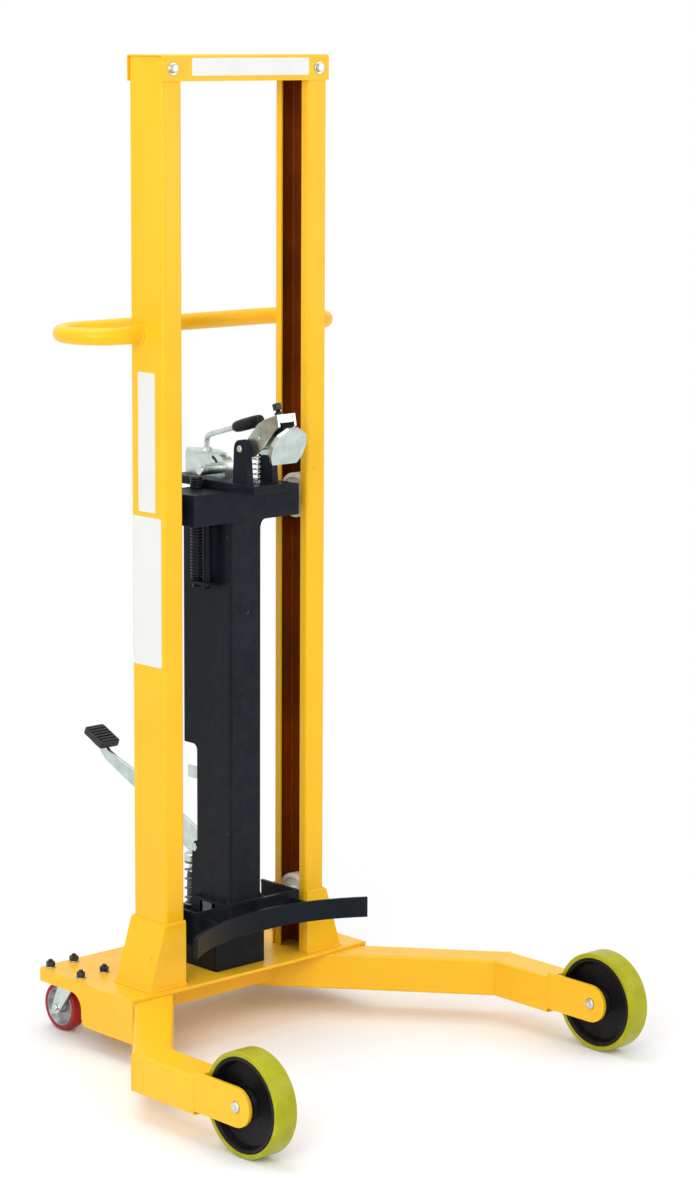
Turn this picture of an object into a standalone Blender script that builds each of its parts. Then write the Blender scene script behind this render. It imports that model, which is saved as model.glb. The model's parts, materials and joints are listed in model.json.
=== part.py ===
"""Manual hydraulic drum stacker: two channel masts on a splayed base, a carriage
that a foot pump lifts, and a beak clamp that grips a drum by its rim.

Metres, +Z up. The masts stand either side of X = 0, the drum side is -Y, the
operator and the foot pedal are at +Y, and the floor is Z = 0. "left" is -X.
"""
import math

import bmesh
import bpy
from mathutils import Matrix, Vector

SEAT = 0.0003            # gap between two pieces that rest on each other
SEGMENTS = 24            # sides of a small round piece
LARGE_SEGMENTS = 36      # sides of a wheel

# Base
PLATE_TOP = 0.135
PLATE_THICK = 0.006
PLATE_HALF = 0.314
PLATE_FRONT = -0.070
PLATE_REAR = 0.238
PLATE_CORNER = 0.014
RIM_DEPTH = 0.026        # down-turned rim round the plate
RIM_THICK = 0.005
SKIRT_BOTTOM = 0.045
SKIRT_END = 0.087        # where the deep part of the skirt stops, ahead of the caster
SKIRT_SWEEP = 0.032      # radius that lifts the skirt clear of the caster

# Legs and forks
LEG_WIDTH = 0.076
LEG_HEIGHT = 0.076
LEG_WALL = 0.005
LEG_TOP = PLATE_TOP - PLATE_THICK - SEAT
LEG_SPLAY = math.radians(40)
LEG_REACH = 0.580        # bend to rear end, along the splayed run
BEND_Y = -0.320
FORK_START = -0.485
FORK_THICK = 0.008
FORK_HEIGHT = 0.076
CROSS_FRONT = 0.022
CROSS_DEPTH = 0.048
CROSS_BOTTOM = 0.066

# Front wheels
WHEEL_RADIUS = 0.100
WHEEL_WIDTH = 0.050
WHEEL_X = 0.468
WHEEL_Y = -0.604
TYRE_THICK = 0.010
WHEEL_PIN_RADIUS = 0.011
HUB_BOSS_RADIUS = 0.024

# Rear casters
CASTER_X = 0.2618
CASTER_Y = 0.172
CASTER_TRAIL = 0.042
CASTER_RADIUS = 0.050
CASTER_WIDTH = 0.032
CASTER_TYRE = 0.010
CASTER_PLATE_THICK = 0.005
CASTER_CHEEK = 0.004
CASTER_AXLE_RADIUS = 0.005
STUD_SPACING_X = 0.060
STUD_SPACING_Y = 0.100
STUD_RADIUS = 0.005
STUD_HEIGHT = 0.0165
WASHER_RADIUS = 0.0115
KINGPIN_RADIUS = 0.006
CASTER_CROWN = 0.006

# Masts
MAST_HALF = 0.212  # X of the outer web face
MAST_DEPTH = 0.100
MAST_FLANGE = 0.050
MAST_LIP = 0.020
MAST_WALL = 0.004
MAST_CORNER = 0.007
MACHINE_TOP = 1.970
CROSSPIECE_HEIGHT = 0.050
CROSSPIECE_THICK = 0.003
BOLT_RADIUS = 0.005
BOLT_BELOW_TOP = 0.026
FOOT_HEIGHT = 0.130      # welded boots at the masts' feet
FOOT_SPREAD = 0.040
FOOT_THICK = 0.004

# Push handle
HANDLE_Z = 1.434
HANDLE_RADIUS = 0.017
HANDLE_BEND = 0.0775
HANDLE_FRONT_Y = 0.0255
HANDLE_BEND_X = 0.2423  # Carriage
COLUMN_HALF = 0.040
COLUMN_FRONT = -0.050
COLUMN_REAR = 0.100
COLUMN_WALL = 0.004
COLUMN_BOTTOM = 0.277
COLUMN_WINDOW_Y = 0.057  # the rear is open behind here, below the window's top
COLUMN_WINDOW_TOP = 0.590
WINDOW_CORNER = 0.012
TAB_LOW = 0.517          # small plate welded inside the column's cut-away edge
TAB_HEIGHT = 0.0255
TAB_REAR = 0.089
BAR_HALF = 0.138
BAR_WALL = 0.006
UPPER_BAR_BOTTOM = 1.057
UPPER_BAR_TOP = 1.120
UPPER_BAR_DEPTH = 0.106
LOWER_BAR_BOTTOM = 0.208
LOWER_BAR_DEPTH = 0.112
ROLLER_WIDTH = 0.030
ROLLER_X = 0.184
ROLLER_JOURNAL = 0.010
ROLLER_SHOULDER = 0.016
UPPER_ROLLER_Z = 1.087
LOWER_ROLLER_Z = 0.248  # Bumper
BUMPER_RADIUS = 0.4025
BUMPER_HALF = 0.2275
BUMPER_MID_Y = -0.097
BUMPER_THICK = 0.008
BUMPER_TOP = 0.267
BUMPER_HEIGHT = 0.042
STRUT_X = 0.114
STRUT_THICK = 0.008

# Hydraulics
BLOCK_HALF = 0.066
BLOCK_FRONT = -0.033
BLOCK_REAR = 0.150
BLOCK_HEIGHT = 0.096
CYLINDER_Y = 0.005
CYLINDER_RADIUS = 0.0285
CYLINDER_WALL = 0.005
CYLINDER_TOP = 1.034
GLAND_LENGTH = 0.024
ROD_RADIUS = 0.0175
PISTON_LENGTH = 0.030
RUNNING_GAP = 0.0003
PLUNGER_Y = 0.118
PLUNGER_RADIUS = 0.009
PLUNGER_TOP = 0.345
PLUNGER_CAP_RADIUS = 0.019
PLUNGER_CAP_HEIGHT = 0.016
BARREL_RADIUS = 0.020
BARREL_HEIGHT = 0.004
SPRING_WIRE = 0.0022
PUMP_SPRING_RADIUS = 0.0160
PUMP_SPRING_TURNS = 6
PEDAL_PIN_Y = 0.072
PEDAL_PIN_Z = 0.372
PEDAL_PIN_RADIUS = 0.006
PEDAL_LUG_X = 0.024
PEDAL_LUG_THICK = 0.006
PEDAL_ARM_THICK = 0.008
PEDAL_NOSE_RADIUS = 0.012
PAD_WIDTH = 0.050
PAD_LENGTH = 0.064
PAD_THICK = 0.0155
PAD_Y = 0.418
PAD_Z = 0.540
PAD_SLOPE = math.radians(24)  # Beak clamp
CLAMP_HALF = 0.043
CLAMP_FRONT = -0.122
CLAMP_REAR = 0.135
CLAMP_THICK = 0.016
EAR_INNER = 0.0245
EAR_THICK = 0.016
EAR_FRONT = -0.101
EAR_BASE = 0.046
EAR_ROUND = 0.018
BEAK_PIN_Y = -0.0765
BEAK_PIN_Z = 1.207
BEAK_PIN_RADIUS = 0.007
ARM_HALF = 0.0235
ARM_WALL = 0.005
JAW_PIN_Y = -0.1115
JAW_PIN_Z = 1.2295
JAW_PIN_RADIUS = 0.005
TONGUE_HALF = 0.0120
JAW_BOTTOM_Y = -0.160
JAW_BOTTOM_Z = 1.184
JAW_HEIGHT = 0.077
JAW_THICK = 0.008
JAW_LEAN = math.radians(23)
SET_BOLT_Y = -0.1480
SET_BOLT_Z = 1.2740
SET_BOLT_LEAN = math.radians(19.4)
SET_BOLT_RADIUS = 0.005
SET_BOLT_REACH = 0.028
GUIDE_HALF = 0.011       # zinc block that carries the lock handle
GUIDE_FRONT = 0.000
GUIDE_REAR = 0.125
GUIDE_HEIGHT = 0.046
GUIDE_PIN_Y = 0.020
GUIDE_PIN_RADIUS = 0.0110
HANDLE_SPINDLE_Y = 0.071
LOCK_ROD_RADIUS = 0.0055
GRIP_RADIUS = 0.0125
BALANCE_SPRING_X = -0.058
BALANCE_SPRING_Y = 0.035
BALANCE_SPRING_RADIUS = 0.0105
BALANCE_SPRING_TURNS = 12
BALANCE_SPRING_BOTTOM = 0.944
BALANCE_WIRE = 0.0018


# ---------------------------------------------------------------- helpers

def clear_scene():
    for item in list(bpy.data.objects):
        bpy.data.objects.remove(item, do_unlink=True)


def make_material(name, colour, roughness, metallic):
    material = bpy.data.materials.new(name)
    material.use_nodes = True
    shader = material.node_tree.nodes["Principled BSDF"]
    shader.inputs["Base Color"].default_value = (*colour, 1.0)
    shader.inputs["Roughness"].default_value = roughness
    shader.inputs["Metallic"].default_value = metallic
    return material


def add_solid(name, bm, material=None, origin=(0, 0, 0)):
    """Turns a closed bmesh in machine coordinates into an object with this origin."""
    bmesh.ops.remove_doubles(bm, verts=bm.verts, dist=1e-7)
    bmesh.ops.recalc_face_normals(bm, faces=bm.faces)
    bmesh.ops.translate(bm, verts=bm.verts, vec=-Vector(origin))
    mesh = bpy.data.meshes.new(name)
    bm.to_mesh(mesh)
    bm.free()
    solid = bpy.data.objects.new(name, mesh)
    solid.location = origin
    bpy.context.scene.collection.objects.link(solid)
    if material is not None:
        mesh.materials.append(material)
    return solid


def combine(target, others, operation):
    """Boolean of one object with others, which are used up."""
    for other in others:
        modifier = target.modifiers.new("combine", "BOOLEAN")
        modifier.operation = operation
        modifier.solver = "EXACT"
        modifier.object = other
        bpy.context.view_layer.update()
        depsgraph = bpy.context.evaluated_depsgraph_get()
        mesh = bpy.data.meshes.new_from_object(target.evaluated_get(depsgraph))
        old = target.data
        target.modifiers.clear()
        target.data = mesh
        mesh.name = target.name
        bpy.data.meshes.remove(old)
        bpy.data.objects.remove(other, do_unlink=True)
    return target


def unite(target, *others):
    return combine(target, others, "UNION")


def cut(target, *others):
    return combine(target, others, "DIFFERENCE")


def smooth(solid, angle=35):
    solid.data.shade_smooth()
    solid.data.set_sharp_from_angle(angle=math.radians(angle))
    return solid


def soften(solid, width, segments=1, angle=30):
    """A small bevel that stays on the object as a modifier."""
    modifier = solid.modifiers.new("edges", "BEVEL")
    modifier.width = width
    modifier.segments = segments
    modifier.limit_method = "ANGLE"
    modifier.angle_limit = math.radians(angle)
    return solid


def place(axis, first, second, along):
    """A point of an outline drawn square to an axis, at a height along it."""
    if axis == "X":
        return Vector((along, first, second))
    if axis == "Y":
        return Vector((first, along, second))
    return Vector((first, second, along))


def prism(outline, axis, low, high):
    """Extrudes an outline: (y, z) along X, (x, z) along Y or (x, y) along Z."""
    bm = bmesh.new()
    ring = [bm.verts.new(place(axis, first, second, low)) for first, second in outline]
    face = bm.faces.new(ring)
    grown = bmesh.ops.extrude_face_region(bm, geom=[face])
    moved = [item for item in grown["geom"] if isinstance(item, bmesh.types.BMVert)]
    bmesh.ops.translate(bm, verts=moved, vec=place(axis, 0, 0, high - low))
    return bm


def box(x0, x1, y0, y1, z0, z1):
    return prism([(x0, y0), (x1, y0), (x1, y1), (x0, y1)], "Z", z0, z1)


def turned(profile, axis, centre, segments=SEGMENTS, closed=False):
    """Spins a profile of (radius, distance along the axis) points about an axis.

    An open profile starts and ends on the axis, where flat caps close it; a closed
    one is a ring's section.
    """
    direction = place(axis, 0, 0, 1)
    across = Vector((0, 0, 1)) if axis != "Z" else Vector((1, 0, 0))
    bm = bmesh.new()
    profile = [point for point in profile if point[0] > 0]
    points = [bm.verts.new(Vector(centre) + across * r + direction * d) for r, d in profile]
    edges = [bm.edges.new(pair) for pair in zip(points, points[1:])]
    if closed:
        edges.append(bm.edges.new((points[-1], points[0])))
    bmesh.ops.spin(bm, geom=points + edges, cent=Vector(centre), axis=direction,
                   angle=2 * math.pi, steps=segments, use_merge=True)
    bmesh.ops.remove_doubles(bm, verts=bm.verts, dist=1e-6)
    rims = [edge for edge in bm.edges if edge.is_boundary]
    bmesh.ops.holes_fill(bm, edges=rims, sides=0)
    return bm


def rod(axis, centre, radius, low, high, segments=SEGMENTS, chamfer=0.0):
    """A plain round bar; low and high are measured along the axis from the centre."""
    profile = [(0, low), (radius - chamfer, low)]
    if chamfer > 0:
        profile += [(radius, low + chamfer), (radius, high - chamfer)]
    else:
        profile += [(radius, high)]
    if chamfer > 0:
        profile += [(radius - chamfer, high)]
    profile.append((0, high))
    return turned(profile, axis, centre, segments)


def ring(axis, centre, outer, inner, low, high, segments=SEGMENTS):
    profile = [(inner, low), (outer, low), (outer, high), (inner, high)]
    return turned(profile, axis, centre, segments, closed=True)


def hexagon(axis, centre, across_flats, low, high):
    radius = across_flats / math.sqrt(3)
    return turned([(0, low), (radius, low), (radius, high), (0, high)], axis, centre, 6)


def arc(centre, radius, start, end, steps):
    """Points of an arc; angles in degrees, start and end included."""
    points = []
    for step in range(steps + 1):
        angle = math.radians(start + (end - start) * step / steps)
        points.append((centre[0] + radius * math.cos(angle), centre[1] + radius * math.sin(angle)))
    return points


def rounded(points, radius, steps=4):
    """Rounds every corner of an outline; radius is one value or one for each corner."""
    count = len(points)
    radii = radius if isinstance(radius, (list, tuple)) else [radius] * count
    result = []
    for index, corner in enumerate(points):
        here = Vector(corner)
        if radii[index] <= 0:
            result.append(tuple(here))
            continue
        before = (Vector(points[index - 1]) - here).normalized()
        after = (Vector(points[(index + 1) % count]) - here).normalized()
        half = before.angle(after) / 2
        reach = radii[index] / math.tan(half)
        centre = here + (before + after).normalized() * (radii[index] / math.sin(half))
        start = here + before * reach - centre
        sweep = start.angle_signed(here + after * reach - centre)
        for step in range(steps + 1):
            turn = Matrix.Rotation(-sweep * step / steps, 2)
            result.append(tuple(centre + turn @ start))
    return result


def strip(path, half_width):
    """Outline of a band that follows a path of plan points, with square ends."""
    points = [Vector(point) for point in path]
    left, right = [], []
    for index, point in enumerate(points):
        before = (point - points[index - 1]).normalized() if index else None
        after = (points[index + 1] - point).normalized() if index + 1 < len(points) else None
        before = before or after
        after = after or before
        tangent = (before + after).normalized()
        normal = Vector((-tangent.y, tangent.x))
        reach = half_width / max(tangent.dot(before), 0.2)
        left.append(tuple(point + normal * reach))
        right.append(tuple(point - normal * reach))
    return left + right[::-1]


def tube(name, points, radius, material, sides=2, origin=(0, 0, 0), cyclic=False):
    """A round bar or wire along a path, made as a bevelled curve with filled caps."""
    curve = bpy.data.curves.new(name, "CURVE")
    curve.dimensions = "3D"
    curve.bevel_depth = radius
    curve.bevel_resolution = sides
    curve.use_fill_caps = True
    spline = curve.splines.new("POLY")
    spline.points.add(len(points) - 1)
    for target, point in zip(spline.points, points):
        target.co = (*(Vector(point) - Vector(origin)), 1.0)
    spline.use_cyclic_u = cyclic
    guide = bpy.data.objects.new(name + "_path", curve)
    bpy.context.scene.collection.objects.link(guide)
    bpy.context.view_layer.update()
    depsgraph = bpy.context.evaluated_depsgraph_get()
    mesh = bpy.data.meshes.new_from_object(guide.evaluated_get(depsgraph))
    bpy.data.objects.remove(guide, do_unlink=True)
    bm = bmesh.new()
    bm.from_mesh(mesh)
    bpy.data.meshes.remove(mesh)
    bmesh.ops.translate(bm, verts=bm.verts, vec=Vector(origin))
    solid = add_solid(name, bm, material, origin)
    return smooth(solid)


def helix(centre, radius, bottom, top, turns, steps=9):
    """Points of a coil spring with flat end turns."""
    points = []
    count = turns * steps
    for step in range(count + 1):
        share = step / count
        eased = min(max((share * turns - 0.75) / (turns - 1.5), 0.0), 1.0)
        angle = 2 * math.pi * turns * share
        height = bottom + (top - bottom) * eased
        points.append((centre[0] + radius * math.cos(angle),
                       centre[1] + radius * math.sin(angle), height))
    return points


def side_name(base, side):
    return base + ("_left" if side < 0 else "_right")


# ---------------------------------------------------------------- base

def base_plate(paint, hardware):
    """Pressed plate with a down-turned rim and deep skirts ahead of the casters."""
    bottom = PLATE_TOP - RIM_DEPTH
    outline = rounded([(-PLATE_HALF, PLATE_FRONT), (PLATE_HALF, PLATE_FRONT),
                       (PLATE_HALF, PLATE_REAR), (-PLATE_HALF, PLATE_REAR)],
                      [0, 0, PLATE_CORNER, PLATE_CORNER])
    plate = add_solid("base_plate", prism(outline, "Z", bottom, PLATE_TOP), paint)
    inner = PLATE_HALF - RIM_THICK
    rear = PLATE_REAR - RIM_THICK
    corner = PLATE_CORNER - RIM_THICK
    pocket = rounded([(-inner, PLATE_FRONT - 0.01), (inner, PLATE_FRONT - 0.01),
                      (inner, rear), (-inner, rear)], [0, 0, corner, corner])
    under = PLATE_TOP - PLATE_THICK
    cut(plate, add_solid("pocket", prism(pocket, "Z", bottom - 0.01, under)))
    sweep_y = SKIRT_END + 0.007
    sweep = arc((sweep_y + SKIRT_SWEEP, bottom - SKIRT_SWEEP), SKIRT_SWEEP, 180, 90, 6)
    skirt = [(PLATE_FRONT, PLATE_TOP - 0.002), (PLATE_FRONT, SKIRT_BOTTOM),
             (SKIRT_END, SKIRT_BOTTOM), (sweep_y, SKIRT_BOTTOM + 0.016)]
    skirt += sweep + [(sweep[-1][0] + 0.01, bottom), (sweep[-1][0] + 0.01, PLATE_TOP - 0.002)]
    for side in (-1, 1):
        low, high = sorted((side * inner, side * PLATE_HALF))
        unite(plate, add_solid("skirt", prism(skirt, "X", low, high)))
        for x, y in stud_places(side):
            hole = rod("Z", (x, y, 0), STUD_RADIUS + SEAT, bottom, PLATE_TOP + 0.01, 16)
            cut(plate, add_solid("stud_hole", hole))
    return plate


def stud_places(side):
    return [(side * CASTER_X + sx * STUD_SPACING_X / 2, CASTER_Y + sy * STUD_SPACING_Y / 2)
            for sx in (-1, 1) for sy in (-1, 1)]


def leg_path(side, extra=0.0):
    """Centre line of a leg in plan, from the fork's start to the rear end."""
    reach = LEG_REACH + extra
    rear = (side * (WHEEL_X - reach * math.sin(LEG_SPLAY)), BEND_Y + reach * math.cos(LEG_SPLAY))
    return [(side * WHEEL_X, FORK_START - extra), (side * WHEEL_X, BEND_Y), rear]


def leg(side, paint):
    """Rectangular tube, bent once, open at both ends."""
    bottom = LEG_TOP - LEG_HEIGHT
    shape = prism(strip(leg_path(side), LEG_WIDTH / 2), "Z", bottom, LEG_TOP)
    solid = add_solid(side_name("leg", side), shape, paint)
    soften_now(solid, 0.006, 2, 60)
    bore = prism(strip(leg_path(side, 0.02), LEG_WIDTH / 2 - LEG_WALL), "Z",
                 bottom + LEG_WALL, LEG_TOP - LEG_WALL)
    return smooth(cut(solid, add_solid("bore", bore)))


def soften_now(solid, width, segments, angle):
    """Bevels the long outer edges of a bar before it is hollowed."""
    bm = bmesh.new()
    bm.from_mesh(solid.data)
    edges = [edge for edge in bm.edges
             if abs(edge.verts[0].co.z - edge.verts[1].co.z) < 1e-6
             and edge.calc_face_angle() > math.radians(angle)
             and edge.calc_length() > LEG_WIDTH + 0.001]
    bmesh.ops.bevel(bm, geom=edges, offset=width, segments=segments, profile=0.5,
                    affect="EDGES")
    bm.to_mesh(solid.data)
    bm.free()


def leg_inner_face_x(y):
    """X of the right leg's inner side at a place along the splayed run."""
    centre = WHEEL_X - (y - BEND_Y) * math.tan(LEG_SPLAY)
    return centre - LEG_WIDTH / 2 / math.cos(LEG_SPLAY)


def cross_tube(paint):
    """Box tube between the legs under the plate, its ends mitred to the legs."""
    rear = CROSS_FRONT + CROSS_DEPTH
    gap = SEAT / math.cos(LEG_SPLAY)
    front_x = leg_inner_face_x(CROSS_FRONT) - gap
    rear_x = leg_inner_face_x(rear) - gap
    outline = [(-front_x, CROSS_FRONT), (front_x, CROSS_FRONT), (rear_x, rear), (-rear_x, rear)]
    solid = add_solid("cross_tube", prism(outline, "Z", CROSS_BOTTOM, LEG_TOP), paint)
    bore = box(-front_x - 0.01, front_x + 0.01, CROSS_FRONT + LEG_WALL, rear - LEG_WALL,
               CROSS_BOTTOM + LEG_WALL, LEG_TOP - LEG_WALL)
    return cut(solid, add_solid("bore", bore))


def fork_plate(side, outer, paint):
    """Side plate that carries one end of a wheel pin, butted to the leg's end."""
    half = FORK_HEIGHT / 2
    start = FORK_START - SEAT
    outline = arc((WHEEL_Y, WHEEL_RADIUS), half, 90, 270, 12)
    outline = [(start, WHEEL_RADIUS + half)] + outline + [(start, WHEEL_RADIUS - half)]
    reach = LEG_WIDTH / 2
    low, high = (reach - FORK_THICK, reach) if outer else (-reach, -reach + FORK_THICK)
    low, high = sorted((side * (WHEEL_X + low), side * (WHEEL_X + high)))
    name = side_name("fork_outer" if outer else "fork_inner", side)
    solid = add_solid(name, prism(outline, "X", low, high), paint)
    hole = rod("X", (0, WHEEL_Y, WHEEL_RADIUS), WHEEL_PIN_RADIUS + SEAT, low - 0.01, high + 0.01)
    return smooth(cut(solid, add_solid("pin_hole", hole)))


# ---------------------------------------------------------------- wheels

def wheel_centre(side):
    return (side * WHEEL_X, WHEEL_Y, WHEEL_RADIUS)


def wheel_pin(side, zinc):
    reach = LEG_WIDTH / 2 + 0.003
    pin = rod("X", wheel_centre(side), WHEEL_PIN_RADIUS, -reach, reach, chamfer=0.001)
    return smooth(add_solid(side_name("wheel_pin", side), pin, zinc))


def tyre_profile(radius, inner, half, shoulder):
    outer = arc((half - shoulder, radius - shoulder), shoulder, 0, 90, 3)
    right = [(r, d) for d, r in outer]
    left = [(r, -d) for r, d in reversed(right)]
    return [(inner, half)] + right + left + [(inner, -half)]


def wheel_tyre(side, polymer):
    centre = wheel_centre(side)
    inner = WHEEL_RADIUS - TYRE_THICK
    profile = tyre_profile(WHEEL_RADIUS, inner, WHEEL_WIDTH / 2, 0.005)
    shape = turned(profile, "X", centre, LARGE_SEGMENTS, closed=True)
    return smooth(add_solid(side_name("wheel_tyre", side), shape, polymer, centre))


def wheel_hub(side, plastic):
    """Dished hub: a rim under the tyre, a web and a long boss on the pin."""
    centre = wheel_centre(side)
    rim = WHEEL_RADIUS - TYRE_THICK - SEAT
    half = WHEEL_WIDTH / 2 - 0.001
    boss = LEG_WIDTH / 2 - FORK_THICK - SEAT
    bore = WHEEL_PIN_RADIUS + SEAT
    web = 0.007
    right = [(bore, boss), (HUB_BOSS_RADIUS, boss), (HUB_BOSS_RADIUS + 0.003, web),
             (rim - 0.012, web), (rim - 0.008, half), (rim, half)]
    profile = right + [(r, -d) for r, d in reversed(right)]
    shape = turned(profile, "X", centre, LARGE_SEGMENTS, closed=True)
    return smooth(add_solid(side_name("wheel_hub", side), shape, plastic, centre))


# ---------------------------------------------------------------- casters

def caster_axle_centre(side):
    return (side * CASTER_X, CASTER_Y + CASTER_TRAIL, CASTER_RADIUS)


def caster_plate(side, zinc):
    """Top plate with its kingpin and the four studs that hold it to the base plate."""
    top = LEG_TOP
    low = top - CASTER_PLATE_THICK
    x, y = side * CASTER_X, CASTER_Y
    margin = 0.009
    half_x, half_y = STUD_SPACING_X / 2 + margin, STUD_SPACING_Y / 2 + margin
    outline = rounded([(x - half_x, y - half_y), (x + half_x, y - half_y),
                       (x + half_x, y + half_y), (x - half_x, y + half_y)], PLATE_CORNER / 2, 3)
    solid = add_solid(side_name("caster_plate", side), prism(outline, "Z", low, top), zinc)
    for stud_x, stud_y in stud_places(side):
        washer = PLATE_TOP + SEAT
        stud = [(0, low + 0.001), (STUD_RADIUS, low + 0.001), (STUD_RADIUS, washer),
                (WASHER_RADIUS, washer), (WASHER_RADIUS, washer + 0.0022),
                (STUD_RADIUS, washer + 0.0022), (STUD_RADIUS, PLATE_TOP + STUD_HEIGHT),
                (0, PLATE_TOP + STUD_HEIGHT)]
        nut = hexagon("Z", (stud_x, stud_y, 0), 0.017, washer + 0.0015, washer + 0.0135)
        unite(solid, add_solid("stud", turned(stud, "Z", (stud_x, stud_y, 0), 12)),
              add_solid("nut", nut))
    pin_low = caster_crown_top() - CASTER_CROWN - SEAT
    kingpin = [(0, pin_low - 0.004), (0.010, pin_low - 0.004), (0.010, pin_low),
               (KINGPIN_RADIUS, pin_low), (KINGPIN_RADIUS, low + 0.001), (0, low + 0.001)]
    return smooth(unite(solid, add_solid("kingpin", turned(kingpin, "Z", (x, y, 0), 16))))


def caster_crown_top():
    return LEG_TOP - CASTER_PLATE_THICK - SEAT


def caster_fork(side, zinc):
    """Crown that swivels on the kingpin, with two cheeks down to the axle."""
    x, y = side * CASTER_X, CASTER_Y
    top = caster_crown_top()
    inner = CASTER_WIDTH / 2 + 0.004
    outer = inner + CASTER_CHEEK
    pivot = (x, y, 0)
    solid = add_solid(side_name("caster_fork", side),
                      rod("Z", pivot, 0.029, top - CASTER_CROWN + 0.001, top, 32), zinc, pivot)
    edge = outer - 0.0006
    crown = rounded([(x - edge, y - 0.021), (x + edge, y - 0.021),
                     (x + edge, y + 0.025), (x - edge, y + 0.025)], 0.003, 2)
    unite(solid, add_solid("crown", prism(crown, "Z", top - CASTER_CROWN, top - 0.001)))
    axle_y, axle_z = y + CASTER_TRAIL, CASTER_RADIUS
    cheek = [(y - 0.020, top - 0.002), (y - 0.020, top - 0.014)]
    cheek += arc((axle_y, axle_z), 0.013, 205, 355, 8)
    cheek += [(y + 0.024 + 0.012, top - 0.030), (y + 0.024, top - 0.002)]
    for hand in (-1, 1):
        low, high = sorted((x + hand * inner, x + hand * outer))
        unite(solid, add_solid("cheek", prism(cheek, "X", low, high)))
    hole = rod("Z", pivot, KINGPIN_RADIUS + SEAT, top - 0.02, top + 0.01, 20)
    axle_hole = rod("X", (x, axle_y, axle_z), CASTER_AXLE_RADIUS + SEAT, -0.05, 0.05, 20)
    return smooth(cut(solid, add_solid("hole", hole), add_solid("axle_hole", axle_hole)))


def caster_axle(side, zinc):
    centre = caster_axle_centre(side)
    face = CASTER_WIDTH / 2 + 0.004 + CASTER_CHEEK + SEAT
    shank = rod("X", centre, CASTER_AXLE_RADIUS, -face - 0.006, face + 0.006, 16, 0.001)
    solid = add_solid(side_name("caster_axle", side), shank, zinc)
    unite(solid, add_solid("head", hexagon("X", centre, 0.013, -face - 0.005, -face)),
          add_solid("nut", hexagon("X", centre, 0.013, face, face + 0.005)))
    return solid


def caster_tyre(side, polymer):
    centre = caster_axle_centre(side)
    profile = tyre_profile(CASTER_RADIUS, CASTER_RADIUS - CASTER_TYRE, CASTER_WIDTH / 2, 0.005)
    shape = turned(profile, "X", centre, 30, closed=True)
    return smooth(add_solid(side_name("caster_tyre", side), shape, polymer, centre))


def caster_rim(side, metal):
    centre = caster_axle_centre(side)
    rim = CASTER_RADIUS - CASTER_TYRE - SEAT
    bore = CASTER_AXLE_RADIUS + SEAT
    half = CASTER_WIDTH / 2 - 0.001
    boss = CASTER_WIDTH / 2 + 0.004 - SEAT
    right = [(bore, boss), (0.0115, boss), (0.0130, 0.005), (rim - 0.007, 0.005),
             (rim - 0.004, half), (rim, half)]
    profile = right + [(r, -d) for r, d in reversed(right)]
    shape = turned(profile, "X", centre, 30, closed=True)
    return smooth(add_solid(side_name("caster_rim", side), shape, metal, centre))


# ---------------------------------------------------------------- masts

def mast_outline(side):
    """Lipped channel in plan, open towards the carriage."""
    half = MAST_DEPTH / 2
    inner_x = MAST_HALF - MAST_FLANGE
    lip_y = half - MAST_LIP
    wall = MAST_WALL
    points = [(MAST_HALF, -half), (MAST_HALF, half), (inner_x, half), (inner_x, lip_y),
              (inner_x + wall, lip_y), (inner_x + wall, half - wall),
              (MAST_HALF - wall, half - wall), (MAST_HALF - wall, -half + wall),
              (inner_x + wall, -half + wall), (inner_x + wall, -lip_y), (inner_x, -lip_y),
              (inner_x, -half)]
    tight = max(MAST_CORNER - wall, 0.001)
    radii = [MAST_CORNER, MAST_CORNER, MAST_CORNER, 0, 0, tight, tight, tight, tight, 0, 0,
             MAST_CORNER]
    return [(side * x, y) for x, y in rounded(points, radii, 3)]


def mast(side, paint):
    top = MACHINE_TOP - CROSSPIECE_THICK - SEAT
    shape = prism(mast_outline(side), "Z", PLATE_TOP + SEAT, top)
    solid = add_solid(side_name("mast", side), shape, paint)
    x, z = bolt_place(side)
    hole = rod("Y", (x, 0, z), BOLT_RADIUS + SEAT, -MAST_DEPTH / 2 - 0.01,
               -MAST_DEPTH / 2 + MAST_WALL + 0.002, 16)
    return smooth(cut(solid, add_solid("bolt_hole", hole)))


def bolt_place(side):
    return side * (MAST_HALF - MAST_FLANGE / 2), MACHINE_TOP - BOLT_BELOW_TOP


def crosspiece(paint):
    """Folded cap over both mast tops."""
    inner = MAST_DEPTH / 2 + SEAT
    outer = inner + CROSSPIECE_THICK
    low = MACHINE_TOP - CROSSPIECE_HEIGHT
    under = MACHINE_TOP - CROSSPIECE_THICK
    outline = [(-outer, low), (-inner, low), (-inner, under), (inner, under), (inner, low),
               (outer, low), (outer, MACHINE_TOP), (-outer, MACHINE_TOP)]
    outline = rounded(outline, [0, 0, 0, 0, 0, 0, 0.004, 0.004], 3)
    half = MAST_HALF + 0.0015
    solid = add_solid("crosspiece", prism(outline, "X", -half, half), paint)
    for side in (-1, 1):
        x, z = bolt_place(side)
        hole = rod("Y", (x, 0, z), BOLT_RADIUS + SEAT, -outer - 0.01, -inner + 0.005, 16)
        cut(solid, add_solid("bolt_hole", hole))
    return smooth(solid)


def crosspiece_bolt(side, zinc):
    """Hex bolt through the cap and the mast's front flange, with its nut behind."""
    x, z = bolt_place(side)
    front = -(MAST_DEPTH / 2 + SEAT + CROSSPIECE_THICK + SEAT)
    back = -MAST_DEPTH / 2 + MAST_WALL + SEAT
    shank = rod("Y", (x, 0, z), BOLT_RADIUS, front - 0.003, back + 0.011, 16)
    solid = add_solid(side_name("crosspiece_bolt", side), shank, zinc)
    unite(solid, add_solid("head", hexagon("Y", (x, 0, z), 0.017, front - 0.0065, front)),
          add_solid("nut", hexagon("Y", (x, 0, z), 0.017, back, back + 0.008)))
    return solid


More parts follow.
